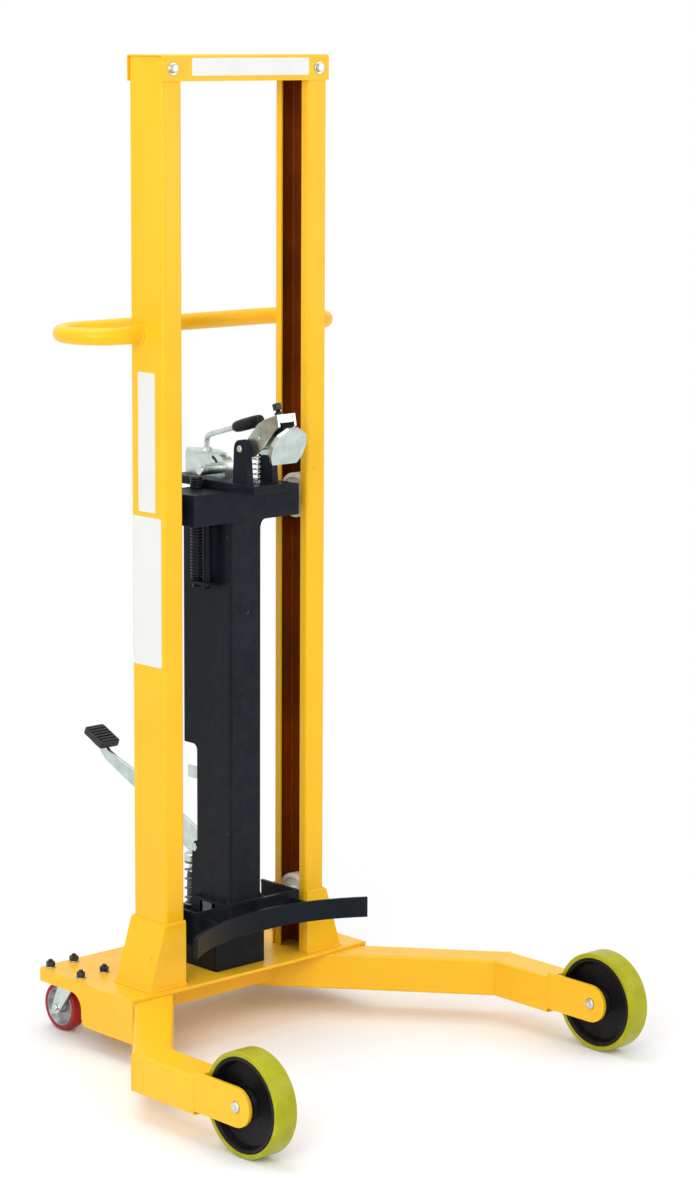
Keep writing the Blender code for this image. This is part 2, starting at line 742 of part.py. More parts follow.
def mast_foot(side, paint):
    """Boot of bent sheet welded round the mast's foot, leaning out at the bottom."""
    low, high = PLATE_TOP + SEAT, PLATE_TOP + FOOT_HEIGHT
    inner_y = MAST_DEPTH / 2 + SEAT
    outer_y = inner_y + FOOT_THICK
    inner_x = MAST_HALF - MAST_FLANGE
    bm = bmesh.new()
    rings = []
    for z, spread in ((low, FOOT_SPREAD), (high, 0.0)):
        web = MAST_HALF + SEAT + spread
        outline = [(inner_x, -outer_y), (web + FOOT_THICK, -outer_y), (web + FOOT_THICK, outer_y),
                   (inner_x, outer_y), (inner_x, inner_y), (web, inner_y), (web, -inner_y),
                   (inner_x, -inner_y)]
        rings.append([bm.verts.new((side * x, y, z)) for x, y in outline])
    count = len(rings[0])
    for index in range(count):
        after = (index + 1) % count
        bm.faces.new((rings[0][index], rings[0][after], rings[1][after], rings[1][index]))
    bm.faces.new(rings[0])
    bm.faces.new(rings[1])
    return add_solid(side_name("mast_foot", side), bm, paint)


def push_handle(paint):
    """Round tube looped behind the masts, its ends welded to their outer webs."""
    centre_y = HANDLE_FRONT_Y + HANDLE_BEND
    start = MAST_HALF + SEAT
    right = [(start, HANDLE_FRONT_Y)]
    right += arc((HANDLE_BEND_X, centre_y), HANDLE_BEND, -90, 90, 14)
    left = [(-x, y) for x, y in reversed(right)]
    path = [(x, y, HANDLE_Z) for x, y in right + left]
    return tube("push_handle", path, HANDLE_RADIUS, paint, sides=3)


# ---------------------------------------------------------------- carriage

def carriage_column(paint):
    """Box column over the cylinder, cut away at the lower rear for the pump."""
    top = UPPER_BAR_BOTTOM - SEAT
    bottom = COLUMN_BOTTOM + SEAT
    outer = rounded([(-COLUMN_HALF, COLUMN_FRONT), (COLUMN_HALF, COLUMN_FRONT),
                     (COLUMN_HALF, COLUMN_REAR), (-COLUMN_HALF, COLUMN_REAR)], 0.005, 2)
    solid = add_solid("carriage_column", prism(outer, "Z", bottom, top), paint)
    bore = box(-COLUMN_HALF + COLUMN_WALL, COLUMN_HALF - COLUMN_WALL,
               COLUMN_FRONT + COLUMN_WALL, COLUMN_REAR - COLUMN_WALL, bottom - 0.01, top + 0.01)
    cut(solid, add_solid("bore", bore))
    window = rounded([(COLUMN_WINDOW_Y, bottom - 0.02), (COLUMN_REAR + 0.03, bottom - 0.02),
                      (COLUMN_REAR + 0.03, COLUMN_WINDOW_TOP), (COLUMN_WINDOW_Y, COLUMN_WINDOW_TOP)],
                     [0, 0, 0, WINDOW_CORNER], 4)
    window = prism(window, "X", -COLUMN_HALF - 0.01, COLUMN_HALF + 0.01)
    cut(solid, add_solid("window", window))
    tab = box(-COLUMN_HALF + COLUMN_WALL - 0.0012, -COLUMN_HALF + COLUMN_WALL + 0.003,
              COLUMN_WINDOW_Y - 0.007, TAB_REAR, TAB_LOW, TAB_LOW + TAB_HEIGHT)
    unite(solid, add_solid("tab", tab))
    anchor_low = BALANCE_SPRING_BOTTOM - 0.016
    anchor = box(BALANCE_SPRING_X - 0.014, -COLUMN_HALF + 0.001, BALANCE_SPRING_Y - 0.050,
                 BALANCE_SPRING_Y + 0.014, anchor_low, anchor_low + 0.006)
    unite(solid, add_solid("anchor", anchor))
    anchor_top = anchor_low + 0.006
    pull_rod = rod("Z", (BALANCE_SPRING_X, BALANCE_SPRING_Y - 0.032, 0), 0.009,
                   anchor_top - 0.001, UPPER_BAR_BOTTOM - SEAT, 16)
    unite(solid, add_solid("pull_rod", pull_rod))
    for offset in (0.0, -0.032):
        nut = hexagon("Z", (BALANCE_SPRING_X, BALANCE_SPRING_Y + offset, 0), 0.014,
                      anchor_low - 0.008, anchor_low + 0.001)
        unite(solid, add_solid("nut", nut))
    return smooth(solid)


def roller_axles(solid, z):
    """Stub axles for the two rollers at one height."""
    inner_end = ROLLER_X - ROLLER_WIDTH / 2 - SEAT
    tip = MAST_HALF - MAST_WALL - 0.002
    for side in (-1, 1):
        shoulder = sorted((side * (BAR_HALF - 0.002), side * inner_end))
        journal = sorted((side * (inner_end - 0.002), side * tip))
        unite(solid,
              add_solid("shoulder", rod("X", (0, 0, z), ROLLER_SHOULDER, *shoulder, 20)),
              add_solid("journal", rod("X", (0, 0, z), ROLLER_JOURNAL, *journal, 20)))


def upper_crossbar(paint):
    """Folded bar over the column, closed on top, with the upper rollers' axles."""
    half = UPPER_BAR_DEPTH / 2
    solid = add_solid("upper_crossbar",
                      box(-BAR_HALF, BAR_HALF, -half, half, UPPER_BAR_BOTTOM, UPPER_BAR_TOP), paint)
    pocket = box(-BAR_HALF + BAR_WALL, BAR_HALF - BAR_WALL, -half + BAR_WALL, half - BAR_WALL,
                 UPPER_BAR_BOTTOM - 0.01, UPPER_BAR_TOP - BAR_WALL)
    cut(solid, add_solid("pocket", pocket))
    roller_axles(solid, UPPER_ROLLER_Z)
    return smooth(solid)


def lower_crossbar(paint):
    """Front plate, two cheeks and a top plate under the column, open behind."""
    half = LOWER_BAR_DEPTH / 2
    solid = add_solid("lower_crossbar",
                      box(-BAR_HALF, BAR_HALF, -half, half, LOWER_BAR_BOTTOM, COLUMN_BOTTOM), paint)
    pocket = box(-BAR_HALF + BAR_WALL, BAR_HALF - BAR_WALL, -half + BAR_WALL, half + 0.01,
                 LOWER_BAR_BOTTOM - 0.01, COLUMN_BOTTOM - BAR_WALL)
    hole = rod("Z", (0, CYLINDER_Y, 0), CYLINDER_RADIUS + 0.002, COLUMN_BOTTOM - 0.02,
               COLUMN_BOTTOM + 0.01)
    cut(solid, add_solid("pocket", pocket), add_solid("cylinder_hole", hole))
    for side in (-1, 1):
        low, high = sorted((side * (COLUMN_HALF + 0.012), side * (BAR_HALF - BAR_WALL - 0.001)))
        gap = box(low, high, -half + BAR_WALL + 0.001, half + 0.02,
                  COLUMN_BOTTOM - 0.02, COLUMN_BOTTOM + 0.01)
        cut(solid, add_solid("gap", gap))
    roller_axles(solid, LOWER_ROLLER_Z)
    return smooth(solid)


def roller(side, upper, nylon):
    z = UPPER_ROLLER_Z if upper else LOWER_ROLLER_Z
    centre = (side * ROLLER_X, 0, z)
    radius = MAST_DEPTH / 2 - MAST_WALL - SEAT
    half = ROLLER_WIDTH / 2
    bore = ROLLER_JOURNAL + RUNNING_GAP
    profile = [(bore, half), (0.020, half), (0.022, half - 0.003), (radius - 0.010, half - 0.003),
               (radius - 0.008, half), (radius - 0.003, half), (radius, half - 0.003)]
    profile += [(r, -d) for r, d in reversed(profile)]
    shape = turned(profile, "X", centre, 28, closed=True)
    name = side_name("roller_upper" if upper else "roller_lower", side)
    return smooth(add_solid(name, shape, nylon, centre))


def bumper(paint):
    """Curved bar that the drum leans on, with the two struts that carry it."""
    centre = (0, BUMPER_MID_Y - BUMPER_RADIUS)
    reach = math.degrees(math.asin(BUMPER_HALF / BUMPER_RADIUS))
    front = arc(centre, BUMPER_RADIUS, 90 - reach, 90 + reach, 18)
    back = arc(centre, BUMPER_RADIUS + BUMPER_THICK, 90 + reach, 90 - reach, 18)
    low = BUMPER_TOP - BUMPER_HEIGHT
    solid = add_solid("bumper", prism(front + back, "Z", low, BUMPER_TOP), paint)
    bar_front = -LOWER_BAR_DEPTH / 2 - SEAT
    touch = centre[1] + math.sqrt((BUMPER_RADIUS + BUMPER_THICK / 2) ** 2 - STRUT_X ** 2)
    for side in (-1, 1):
        x0, x1 = sorted((side * STRUT_X, side * (STRUT_X + STRUT_THICK)))
        strut = box(x0, x1, touch, bar_front, low + 0.003, BUMPER_TOP - 0.003)
        unite(solid, add_solid("strut", strut))
    return smooth(solid)


# ---------------------------------------------------------------- hydraulics

def block_top():
    return PLATE_TOP + BLOCK_HEIGHT


def pump_block(paint):
    """Oil tank with the pump barrel and the two lugs that carry the pedal pin."""
    outline = rounded([(-BLOCK_HALF, BLOCK_FRONT), (BLOCK_HALF, BLOCK_FRONT),
                       (BLOCK_HALF, BLOCK_REAR), (-BLOCK_HALF, BLOCK_REAR)], 0.006, 2)
    top = block_top()
    solid = add_solid("pump_block", prism(outline, "Z", PLATE_TOP + SEAT, top), paint)
    barrel = rod("Z", (0, PLUNGER_Y, 0), BARREL_RADIUS, top - 0.002, top + BARREL_HEIGHT)
    unite(solid, add_solid("barrel", barrel))
    lug = [(PEDAL_PIN_Y - 0.012, top - 0.002), (PEDAL_PIN_Y + 0.016, top - 0.002)]
    lug += arc((PEDAL_PIN_Y, PEDAL_PIN_Z), 0.012, 0, 180, 8)
    for side in (-1, 1):
        low, high = sorted((side * PEDAL_LUG_X, side * (PEDAL_LUG_X + PEDAL_LUG_THICK)))
        unite(solid, add_solid("lug", prism(lug, "X", low, high)))
    hole = rod("X", (0, PEDAL_PIN_Y, PEDAL_PIN_Z), PEDAL_PIN_RADIUS + SEAT, -0.04, 0.04)
    bore = rod("Z", (0, PLUNGER_Y, 0), PLUNGER_RADIUS + RUNNING_GAP,
               PLATE_TOP + 0.030, top + BARREL_HEIGHT + 0.01)
    return smooth(cut(solid, add_solid("hole", hole), add_solid("bore", bore)))


def lift_cylinder(paint):
    """Cylinder tube on the tank, its gland at the top."""
    bottom = block_top() + SEAT
    bore = CYLINDER_RADIUS - CYLINDER_WALL
    gland = ROD_RADIUS + RUNNING_GAP
    step = CYLINDER_TOP - GLAND_LENGTH
    profile = [(bore, bottom), (CYLINDER_RADIUS, bottom), (CYLINDER_RADIUS, CYLINDER_TOP),
               (gland, CYLINDER_TOP), (gland, step), (bore, step)]
    shape = turned(profile, "Z", (0, CYLINDER_Y, 0), 32, closed=True)
    return smooth(add_solid("lift_cylinder", shape, paint))


def piston_rod(chrome):
    """Chromed rod that lifts the upper crossbar, with its piston at the bottom."""
    bottom = block_top() + 0.004
    top = UPPER_BAR_TOP - BAR_WALL - SEAT
    piston = CYLINDER_RADIUS - CYLINDER_WALL - RUNNING_GAP
    profile = [(0, bottom), (piston, bottom), (piston, bottom + PISTON_LENGTH),
               (ROD_RADIUS, bottom + PISTON_LENGTH), (ROD_RADIUS, top), (0, top)]
    shape = turned(profile, "Z", (0, CYLINDER_Y, 0), 32)
    return smooth(add_solid("piston_rod", shape, chrome))


def pump_plunger(zinc):
    """Plunger that the pedal pushes into the tank, under its flat cap."""
    low = PLATE_TOP + 0.062
    cap = PLUNGER_TOP - PLUNGER_CAP_HEIGHT
    profile = [(0, low), (PLUNGER_RADIUS, low), (PLUNGER_RADIUS, cap),
               (PLUNGER_CAP_RADIUS, cap), (PLUNGER_CAP_RADIUS, PLUNGER_TOP - 0.003),
               (PLUNGER_CAP_RADIUS - 0.003, PLUNGER_TOP), (0, PLUNGER_TOP)]
    shape = turned(profile, "Z", (0, PLUNGER_Y, 0), 24)
    return smooth(add_solid("pump_plunger", shape, zinc))


def pump_spring(steel):
    low = block_top() + BARREL_HEIGHT + SPRING_WIRE + SEAT
    high = PLUNGER_TOP - PLUNGER_CAP_HEIGHT - SPRING_WIRE - SEAT
    path = helix((0, PLUNGER_Y), PUMP_SPRING_RADIUS, low, high, PUMP_SPRING_TURNS)
    return tube("pump_spring", path, SPRING_WIRE, steel, sides=1)


def pedal_pin(zinc):
    reach = PEDAL_LUG_X + PEDAL_LUG_THICK + 0.003
    centre = (0, PEDAL_PIN_Y, PEDAL_PIN_Z)
    shape = rod("X", centre, PEDAL_PIN_RADIUS, -reach, reach, 20, 0.001)
    return smooth(add_solid("pedal_pin", shape, zinc))


def pedal_arm(zinc):
    """Flat arm with a boss on the pin and a nose that bears on the plunger."""
    pivot = (0, PEDAL_PIN_Y, PEDAL_PIN_Z)
    under_pad = pad_frame() @ Vector((0, 0.004, -PAD_THICK / 2 - SEAT))
    seat_front = pad_frame() @ Vector((0, -PAD_LENGTH / 2 + 0.014, -PAD_THICK / 2 - SEAT))
    nose = (PLUNGER_Y, PLUNGER_TOP + SEAT + PEDAL_NOSE_RADIUS)
    outline = arc((PEDAL_PIN_Y, PEDAL_PIN_Z), 0.015, 95, 250, 8)
    outline += arc(nose, PEDAL_NOSE_RADIUS, 225, 300, 6)
    outline += [(PLUNGER_Y + 0.090, 0.386), (0.305, 0.450), (0.400, 0.4920), (0.420, 0.5100),
                (under_pad.y, under_pad.z), (seat_front.y, seat_front.z),
                (0.392, 0.5145), (0.362, 0.5035), (0.300, 0.4845), (PEDAL_PIN_Y + 0.100, 0.430)]
    half = PEDAL_ARM_THICK / 2
    solid = add_solid("pedal_arm", prism(outline, "X", -half, half), zinc, pivot)
    boss_half = PEDAL_LUG_X - SEAT
    boss = rod("X", pivot, 0.0115, -boss_half, boss_half, 24)
    unite(solid, add_solid("boss", boss))
    shelf = prism([(under_pad.y, under_pad.z), (seat_front.y, seat_front.z),
                   (seat_front.y + 0.0014, seat_front.z - 0.0040),
                   (under_pad.y + 0.0019, under_pad.z - 0.0036)], "X", -0.022, 0.022)
    unite(solid, add_solid("shelf", shelf))
    hole = rod("X", pivot, PEDAL_PIN_RADIUS + RUNNING_GAP, -0.05, 0.05, 20)
    return smooth(cut(solid, add_solid("hole", hole)))


def pad_frame():
    """Frame of the pedal pad: Y along its length, Z out of its tread."""
    return Matrix.Translation((0, PAD_Y, PAD_Z)) @ Matrix.Rotation(PAD_SLOPE, 4, "X")


def pedal_pad(rubber):
    """Rubber tread block with cross ribs."""
    half_x, half_y, half_z = PAD_WIDTH / 2, PAD_LENGTH / 2, PAD_THICK / 2
    ribs = 6
    pitch = PAD_LENGTH / ribs
    outline = [(-half_y, -half_z), (half_y, -half_z)]
    for rib in range(ribs):
        start = half_y - rib * pitch
        outline += [(start, half_z), (start - pitch * 0.55, half_z)]
        if rib < ribs - 1:
            outline += [(start - pitch * 0.68, half_z - 0.003), (start - pitch * 0.90, half_z - 0.003)]
    outline += [(-half_y, half_z - 0.002)]
    bm = prism(outline, "X", -half_x, half_x)
    bmesh.ops.transform(bm, matrix=pad_frame(), verts=bm.verts)
    return add_solid("pedal_pad", bm, rubber)


# ---------------------------------------------------------------- beak clamp

def clamp_top():
    return UPPER_BAR_TOP + SEAT + CLAMP_THICK


def clamp_base(paint):
    """Thick plate on the upper crossbar, with the two ears of the beak's pivot."""
    low, top = UPPER_BAR_TOP + SEAT, clamp_top()
    solid = add_solid("clamp_base",
                      box(-CLAMP_HALF, CLAMP_HALF, CLAMP_FRONT, CLAMP_REAR, low, top), paint)
    ear = [(EAR_FRONT + EAR_BASE, top - 0.002)]
    ear += arc((BEAK_PIN_Y, BEAK_PIN_Z), EAR_ROUND, 8, 172, 8)
    ear += [(EAR_FRONT, top - 0.002)]
    for side in (-1, 1):
        x0, x1 = sorted((side * EAR_INNER, side * (EAR_INNER + EAR_THICK)))
        unite(solid, add_solid("ear", prism(ear, "X", x0, x1)))
    hole = rod("X", (0, BEAK_PIN_Y, BEAK_PIN_Z), BEAK_PIN_RADIUS + SEAT, -0.06, 0.06, 24)
    return smooth(cut(solid, add_solid("hole", hole)))


def beak_pin(zinc):
    reach = EAR_INNER + EAR_THICK + 0.002
    centre = (0, BEAK_PIN_Y, BEAK_PIN_Z)
    return smooth(add_solid("beak_pin", rod("X", centre, BEAK_PIN_RADIUS, -reach, reach, 24, 0.001),
                            zinc))


def beak_arm(zinc):
    """Inverted channel that swings on the ears and carries the jaw in its slot."""
    pivot = (0, BEAK_PIN_Y, BEAK_PIN_Z)
    outline = [(-0.0840, 1.2300), (-0.1120, 1.2590), (-0.1310, 1.2685), (-0.1680, 1.2815),
               (-0.1725, 1.2575), (-0.1510, 1.2425), (-0.1240, 1.2125), (-0.0980, 1.1915)]
    outline += arc((BEAK_PIN_Y, BEAK_PIN_Z), 0.017, -110, 100, 8)
    solid = add_solid("beak_arm", prism(outline, "X", -ARM_HALF, ARM_HALF), zinc, pivot)
    slot = [(-0.0904, 1.2243), (-0.1335, 1.2636), (-0.1900, 1.2835), (-0.1900, 1.1680),
            (-0.0500, 1.1680), (-0.0500, 1.2100), (-0.0800, 1.2200)]
    cut(solid, add_solid("slot", prism(slot, "X", -ARM_HALF + ARM_WALL, ARM_HALF - ARM_WALL)))
    pin_hole = rod("X", pivot, BEAK_PIN_RADIUS + RUNNING_GAP, -0.06, 0.06, 24)
    jaw_hole = rod("X", (0, JAW_PIN_Y, JAW_PIN_Z), JAW_PIN_RADIUS + SEAT, -0.06, 0.06, 20)
    bolt_hole = leaned(rod("Z", (0, 0, 0), SET_BOLT_RADIUS + SEAT, -0.02, 0.02, 16))
    cut(solid, add_solid("pin_hole", pin_hole), add_solid("jaw_hole", jaw_hole),
        add_solid("bolt_hole", bolt_hole))
    return smooth(solid)


def leaned(bm):
    """Moves a piece drawn upright at the origin onto the set bolt's leaning axis."""
    frame = Matrix.Translation((0, SET_BOLT_Y, SET_BOLT_Z)) @ Matrix.Rotation(-SET_BOLT_LEAN, 4, "X")
    bmesh.ops.transform(bm, matrix=frame, verts=bm.verts)
    return bm


def jaw_pin(zinc):
    reach = ARM_HALF + 0.002
    centre = (0, JAW_PIN_Y, JAW_PIN_Z)
    return smooth(add_solid("jaw_pin", rod("X", centre, JAW_PIN_RADIUS, -reach, reach, 20, 0.0008),
                            zinc))


def beak_jaw(zinc):
    """Jaw plate that hooks over the drum's rim, on a tongue pinned inside the arm."""
    pivot = (0, JAW_PIN_Y, JAW_PIN_Z)
    frame = (Matrix.Translation((0, JAW_BOTTOM_Y, JAW_BOTTOM_Z))
             @ Matrix.Rotation(JAW_LEAN, 4, "X"))
    half = [(0.014, JAW_HEIGHT), (0.036, 0.062), (0.043, 0.040), (0.041, 0.018), (0.032, 0.0)]
    outline = half + [(-x, z) for x, z in reversed(half)]
    plate = prism(rounded(outline, 0.004, 2), "Y", -JAW_THICK / 2, JAW_THICK / 2)
    bmesh.ops.transform(plate, matrix=frame, verts=plate.verts)
    solid = add_solid("beak_jaw", plate, zinc, pivot)
    low = frame @ Vector((0, 0, 0.022))
    high = frame @ Vector((0, 0, 0.052))
    tongue = arc((JAW_PIN_Y, JAW_PIN_Z), 0.0095, -130, 80, 8)
    tongue += [(high.y, high.z), (low.y, low.z)]
    unite(solid, add_solid("tongue", prism(tongue, "X", -TONGUE_HALF, TONGUE_HALF)))
    hole = rod("X", pivot, JAW_PIN_RADIUS + RUNNING_GAP, -0.05, 0.05, 20)
    return smooth(cut(solid, add_solid("hole", hole)))


def set_bolt(steel):
    """Square-head screw through the beak's nose, with its lock nut."""
    solid = add_solid("set_bolt", leaned(rod("Z", (0, 0, 0), SET_BOLT_RADIUS, -SET_BOLT_REACH, 0.024, 16)),
                      steel)
    half = 0.0065
    head = leaned(box(-half, half, -half, half, 0.016, 0.027))
    nut = leaned(hexagon("Z", (0, 0, 0), 0.015, 0.0043, 0.0090))
    return unite(solid, add_solid("head", head), add_solid("nut", nut))


def guide_block(zinc):
    """Block behind the beak, round at its front, under a flange for the lock handle."""
    low = clamp_top() + SEAT
    top = low + GUIDE_HEIGHT
    pin_z = guide_pin_z()
    outline = [(GUIDE_REAR, low), (GUIDE_REAR, top)]
    outline += [(GUIDE_PIN_Y + 0.002, top)]
    outline += arc((GUIDE_FRONT + 0.024, pin_z + 0.001), 0.024, 95, 190, 8)
    outline += [(GUIDE_FRONT + 0.004, low)]
    solid = add_solid("guide_block", prism(outline, "X", -GUIDE_HALF, GUIDE_HALF), zinc)
    flange = rounded([(-0.004, 0.012), (0.004, 0.012), (0.026, HANDLE_SPINDLE_Y), (0.004, 0.132),
                      (-0.004, 0.132), (-0.026, HANDLE_SPINDLE_Y)], 0.003, 2)
    unite(solid, add_solid("flange", prism(flange, "Z", top - 0.0005, top + 0.0045)))
    collar_centre = (0, HANDLE_SPINDLE_Y, top)
    collar = turned([(0, 0), (0.016, 0), (0.009, 0.010), (0, 0.010)], "Z", collar_centre, 20)
    unite(solid, add_solid("collar", collar))
    spindle_hole = rod("Z", collar_centre, LOCK_ROD_RADIUS + RUNNING_GAP, -0.030, 0.03, 20)
    pin_hole = rod("X", (0, GUIDE_PIN_Y, pin_z), GUIDE_PIN_RADIUS + SEAT, -0.05, 0.05, 24)
    return smooth(cut(solid, add_solid("spindle_hole", spindle_hole),
                      add_solid("pin_hole", pin_hole)))


def guide_pin_z():
    return clamp_top() + SEAT + 0.020


def guide_pin(zinc):
    """Cross pin of the guide block, with a collar near its free end."""
    centre = (0, GUIDE_PIN_Y, guide_pin_z())
    r = GUIDE_PIN_RADIUS
    profile = [(0, -0.064), (r - 0.001, -0.064), (r, -0.063), (r, -0.056), (r - 0.002, -0.056),
               (r - 0.002, -0.053), (r, -0.053), (r, 0.017), (r - 0.001, 0.018), (0, 0.018)]
    return smooth(add_solid("guide_pin", turned(profile, "X", centre, 24), zinc))


def lock_rod_path():
    """Upright spindle, a bend, and a run that rises a little towards the drum."""
    foot = clamp_top() + SEAT + GUIDE_HEIGHT - 0.025
    bend_z = foot + 0.047
    rise = math.radians(15.6)
    bend = 0.016
    path = [(0, HANDLE_SPINDLE_Y, foot), (0, HANDLE_SPINDLE_Y, bend_z - 0.002)]
    centre = (HANDLE_SPINDLE_Y - bend, bend_z)
    for y, z in arc(centre, bend, 0, 90 - math.degrees(rise), 6):
        path.append((0, y, z))
    start = path[-1]
    reach = 0.158
    path.append((0, start[1] - reach * math.cos(rise), start[2] + reach * math.sin(rise)))
    return path


def lock_handle(steel):
    return tube("lock_handle", lock_rod_path(), LOCK_ROD_RADIUS, steel, sides=3,
                origin=(0, HANDLE_SPINDLE_Y, 0))


def lock_grip(plastic):
    """Plastic sleeve on the handle's end."""
    path = lock_rod_path()
    tip, before = Vector(path[-1]), Vector(path[-2])
    direction = (tip - before).normalized()
    length = 0.084
    start = tip - direction * (length - 0.004)
    r = GRIP_RADIUS
    bore = LOCK_ROD_RADIUS + SEAT
    depth = length - 0.004 + SEAT
    profile = [(0, depth), (bore, depth), (bore, 0), (r - 0.003, 0), (r - 0.0005, 0.004),
               (r, length * 0.45), (r - 0.001, length - 0.004), (r - 0.005, length), (0, length)]
    bm = turned(profile, "Z", (0, 0, 0), 20)
    turn = Vector((0, 0, 1)).rotation_difference(direction).to_matrix().to_4x4()
    bmesh.ops.transform(bm, matrix=Matrix.Translation(start) @ turn, verts=bm.verts)
    return smooth(add_solid("lock_grip", bm, plastic))


def balance_spring(steel):
    low = BALANCE_SPRING_BOTTOM - 0.010 + BALANCE_WIRE + SEAT
    high = UPPER_BAR_BOTTOM - BALANCE_WIRE - SEAT
    path = helix((BALANCE_SPRING_X, BALANCE_SPRING_Y), BALANCE_SPRING_RADIUS, low, high,
                 BALANCE_SPRING_TURNS, 8)
    return tube("balance_spring", path, BALANCE_WIRE, steel, sides=1)


# ---------------------------------------------------------------- assembly

def make_materials():
    return {
        "paint": make_material("yellow_paint", (0.95, 0.55, 0.04), 0.30, 0.0),
        "black": make_material("black_paint", (0.015, 0.018, 0.024), 0.40, 0.0),
        "zinc": make_material("zinc_plate", (0.60, 0.62, 0.60), 0.35, 1.0),
        "chrome": make_material("chrome", (0.75, 0.75, 0.76), 0.10, 1.0),
        "steel": make_material("dark_steel", (0.10, 0.10, 0.11), 0.40, 1.0),
        "tyre": make_material("wheel_polymer", (0.45, 0.48, 0.02), 0.35, 0.0),
        "red": make_material("caster_polymer", (0.45, 0.03, 0.03), 0.35, 0.0),
        "rim": make_material("caster_rim", (0.45, 0.46, 0.47), 0.45, 1.0),
        "plastic": make_material("black_plastic", (0.02, 0.02, 0.022), 0.45, 0.0),
        "rubber": make_material("rubber", (0.03, 0.03, 0.032), 0.75, 0.0),
        "nylon": make_material("nylon", (0.62, 0.58, 0.48), 0.50, 0.0),
    }


def build_base(kit):
    base_plate(kit["paint"], kit["zinc"])
    cross_tube(kit["paint"])
    for side in (-1, 1):
        leg(side, kit["paint"])
        fork_plate(side, True, kit["paint"])
        fork_plate(side, False, kit["paint"])
        wheel_pin(side, kit["zinc"])
        wheel_tyre(side, kit["tyre"])
        wheel_hub(side, kit["plastic"])
        caster_plate(side, kit["zinc"])
        caster_fork(side, kit["zinc"])
        caster_axle(side, kit["zinc"])
        caster_tyre(side, kit["red"])
        caster_rim(side, kit["rim"])


def build_masts(kit):
    crosspiece(kit["paint"])
    push_handle(kit["paint"])
    for side in (-1, 1):
        mast(side, kit["paint"])
        mast_foot(side, kit["paint"])
        crosspiece_bolt(side, kit["zinc"])


def build_carriage(kit):
    carriage_column(kit["black"])
    upper_crossbar(kit["black"])
    lower_crossbar(kit["black"])
    bumper(kit["black"])
    balance_spring(kit["steel"])
    for side in (-1, 1):
        roller(side, True, kit["nylon"])
        roller(side, False, kit["nylon"])


def build_pump(kit):
    pump_block(kit["black"])
    lift_cylinder(kit["black"])
    piston_rod(kit["chrome"])
    pump_plunger(kit["zinc"])
    pump_spring(kit["steel"])
    pedal_pin(kit["zinc"])
    pedal_arm(kit["zinc"])
    pedal_pad(kit["rubber"])


def build_clamp(kit):
    clamp_base(kit["black"])
    beak_pin(kit["zinc"])
    beak_arm(kit["zinc"])
    jaw_pin(kit["zinc"])
    beak_jaw(kit["zinc"])
    set_bolt(kit["steel"])
    guide_block(kit["zinc"])
    guide_pin(kit["zinc"])
    lock_handle(kit["zinc"])
    lock_grip(kit["plastic"])


def centre_on_floor():
    """Puts the origin on the floor under the middle of the machine's own box."""
    bpy.context.view_layer.update()
    corners = [item.matrix_world @ Vector(corner)
               for item in bpy.data.objects for corner in item.bound_box]
    middle_y = (min(c.y for c in corners) + max(c.y for c in corners)) / 2
    for item in bpy.data.objects:
        item.location.y -= middle_y
    bpy.context.view_layer.update()
    print("middle_y", round(middle_y, 6))


def main():
    clear_scene()
    kit = make_materials()
    build_base(kit)
    build_masts(kit)
    build_carriage(kit)
    build_pump(kit)
    build_clamp(kit)
    centre_on_floor()


main()
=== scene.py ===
"""Visual model of the drum stacker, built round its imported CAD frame."""
import json
import math

import bpy
from mathutils import Matrix, Vector


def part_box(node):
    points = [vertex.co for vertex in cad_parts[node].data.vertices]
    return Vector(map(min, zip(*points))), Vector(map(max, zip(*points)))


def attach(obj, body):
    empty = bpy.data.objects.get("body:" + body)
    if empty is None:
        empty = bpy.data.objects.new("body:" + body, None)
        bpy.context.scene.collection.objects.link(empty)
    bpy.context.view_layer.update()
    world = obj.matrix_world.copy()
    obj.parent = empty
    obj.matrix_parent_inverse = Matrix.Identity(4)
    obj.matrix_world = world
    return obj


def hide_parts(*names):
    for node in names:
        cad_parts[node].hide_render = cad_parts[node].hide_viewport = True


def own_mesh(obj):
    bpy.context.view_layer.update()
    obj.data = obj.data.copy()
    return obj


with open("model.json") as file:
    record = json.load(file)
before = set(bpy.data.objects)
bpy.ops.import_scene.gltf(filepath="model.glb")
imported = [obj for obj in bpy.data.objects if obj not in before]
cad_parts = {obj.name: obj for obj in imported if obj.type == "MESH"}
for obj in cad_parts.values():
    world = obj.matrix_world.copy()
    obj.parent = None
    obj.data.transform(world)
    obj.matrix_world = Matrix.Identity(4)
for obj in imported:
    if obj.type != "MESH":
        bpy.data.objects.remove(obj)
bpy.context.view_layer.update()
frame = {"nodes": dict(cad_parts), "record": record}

bl_info = {
    "name": "Drum stacker look",
    "version": (1, 0, 0),
    "blender": (4, 5, 0),
    "location": "3D View > Sidebar > Stacker",
    "description": "Pieces, finishes and stage of a foot-pumped drum stacker",
    "category": "Object",
}

NODES = frame["nodes"]
BODY_OF = {node: body for body, nodes in frame["record"]["behaviour"]["bodies"].items()
           for node in nodes}
SLOT_OF = {row["node"]: row["material_slot"] for row in frame["record"]["subparts"]}
SIDES = (("left", -1), ("right", 1))
GAP = 0.0003                             # between two pieces that bear on each other
SMOOTH_ANGLE = math.radians(38)          # sharper edges than this stay sharp
BEVEL_ANGLE = math.radians(32)           # sharper edges than this are rounded
FLAT_ANGLE = math.radians(0.6)           # faces that meet at less become one
MERGE = 0.00002                          # CAD points closer than this become one


def measure(node):
    """Low corner, high corner, middle and half size of a CAD solid."""
    low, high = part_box(node)
    return low, high, (low + high) / 2, (high - low) / 2


def flanks(node, sign):
    """The x of a solid's inner and outer face on one side of the machine."""
    low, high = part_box(node)
    return (low.x, high.x) if sign > 0 else (high.x, low.x)


MAST_Y = measure("crosspiece")[2].y      # plane through both masts
PLATE_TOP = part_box("base_plate")[1].z


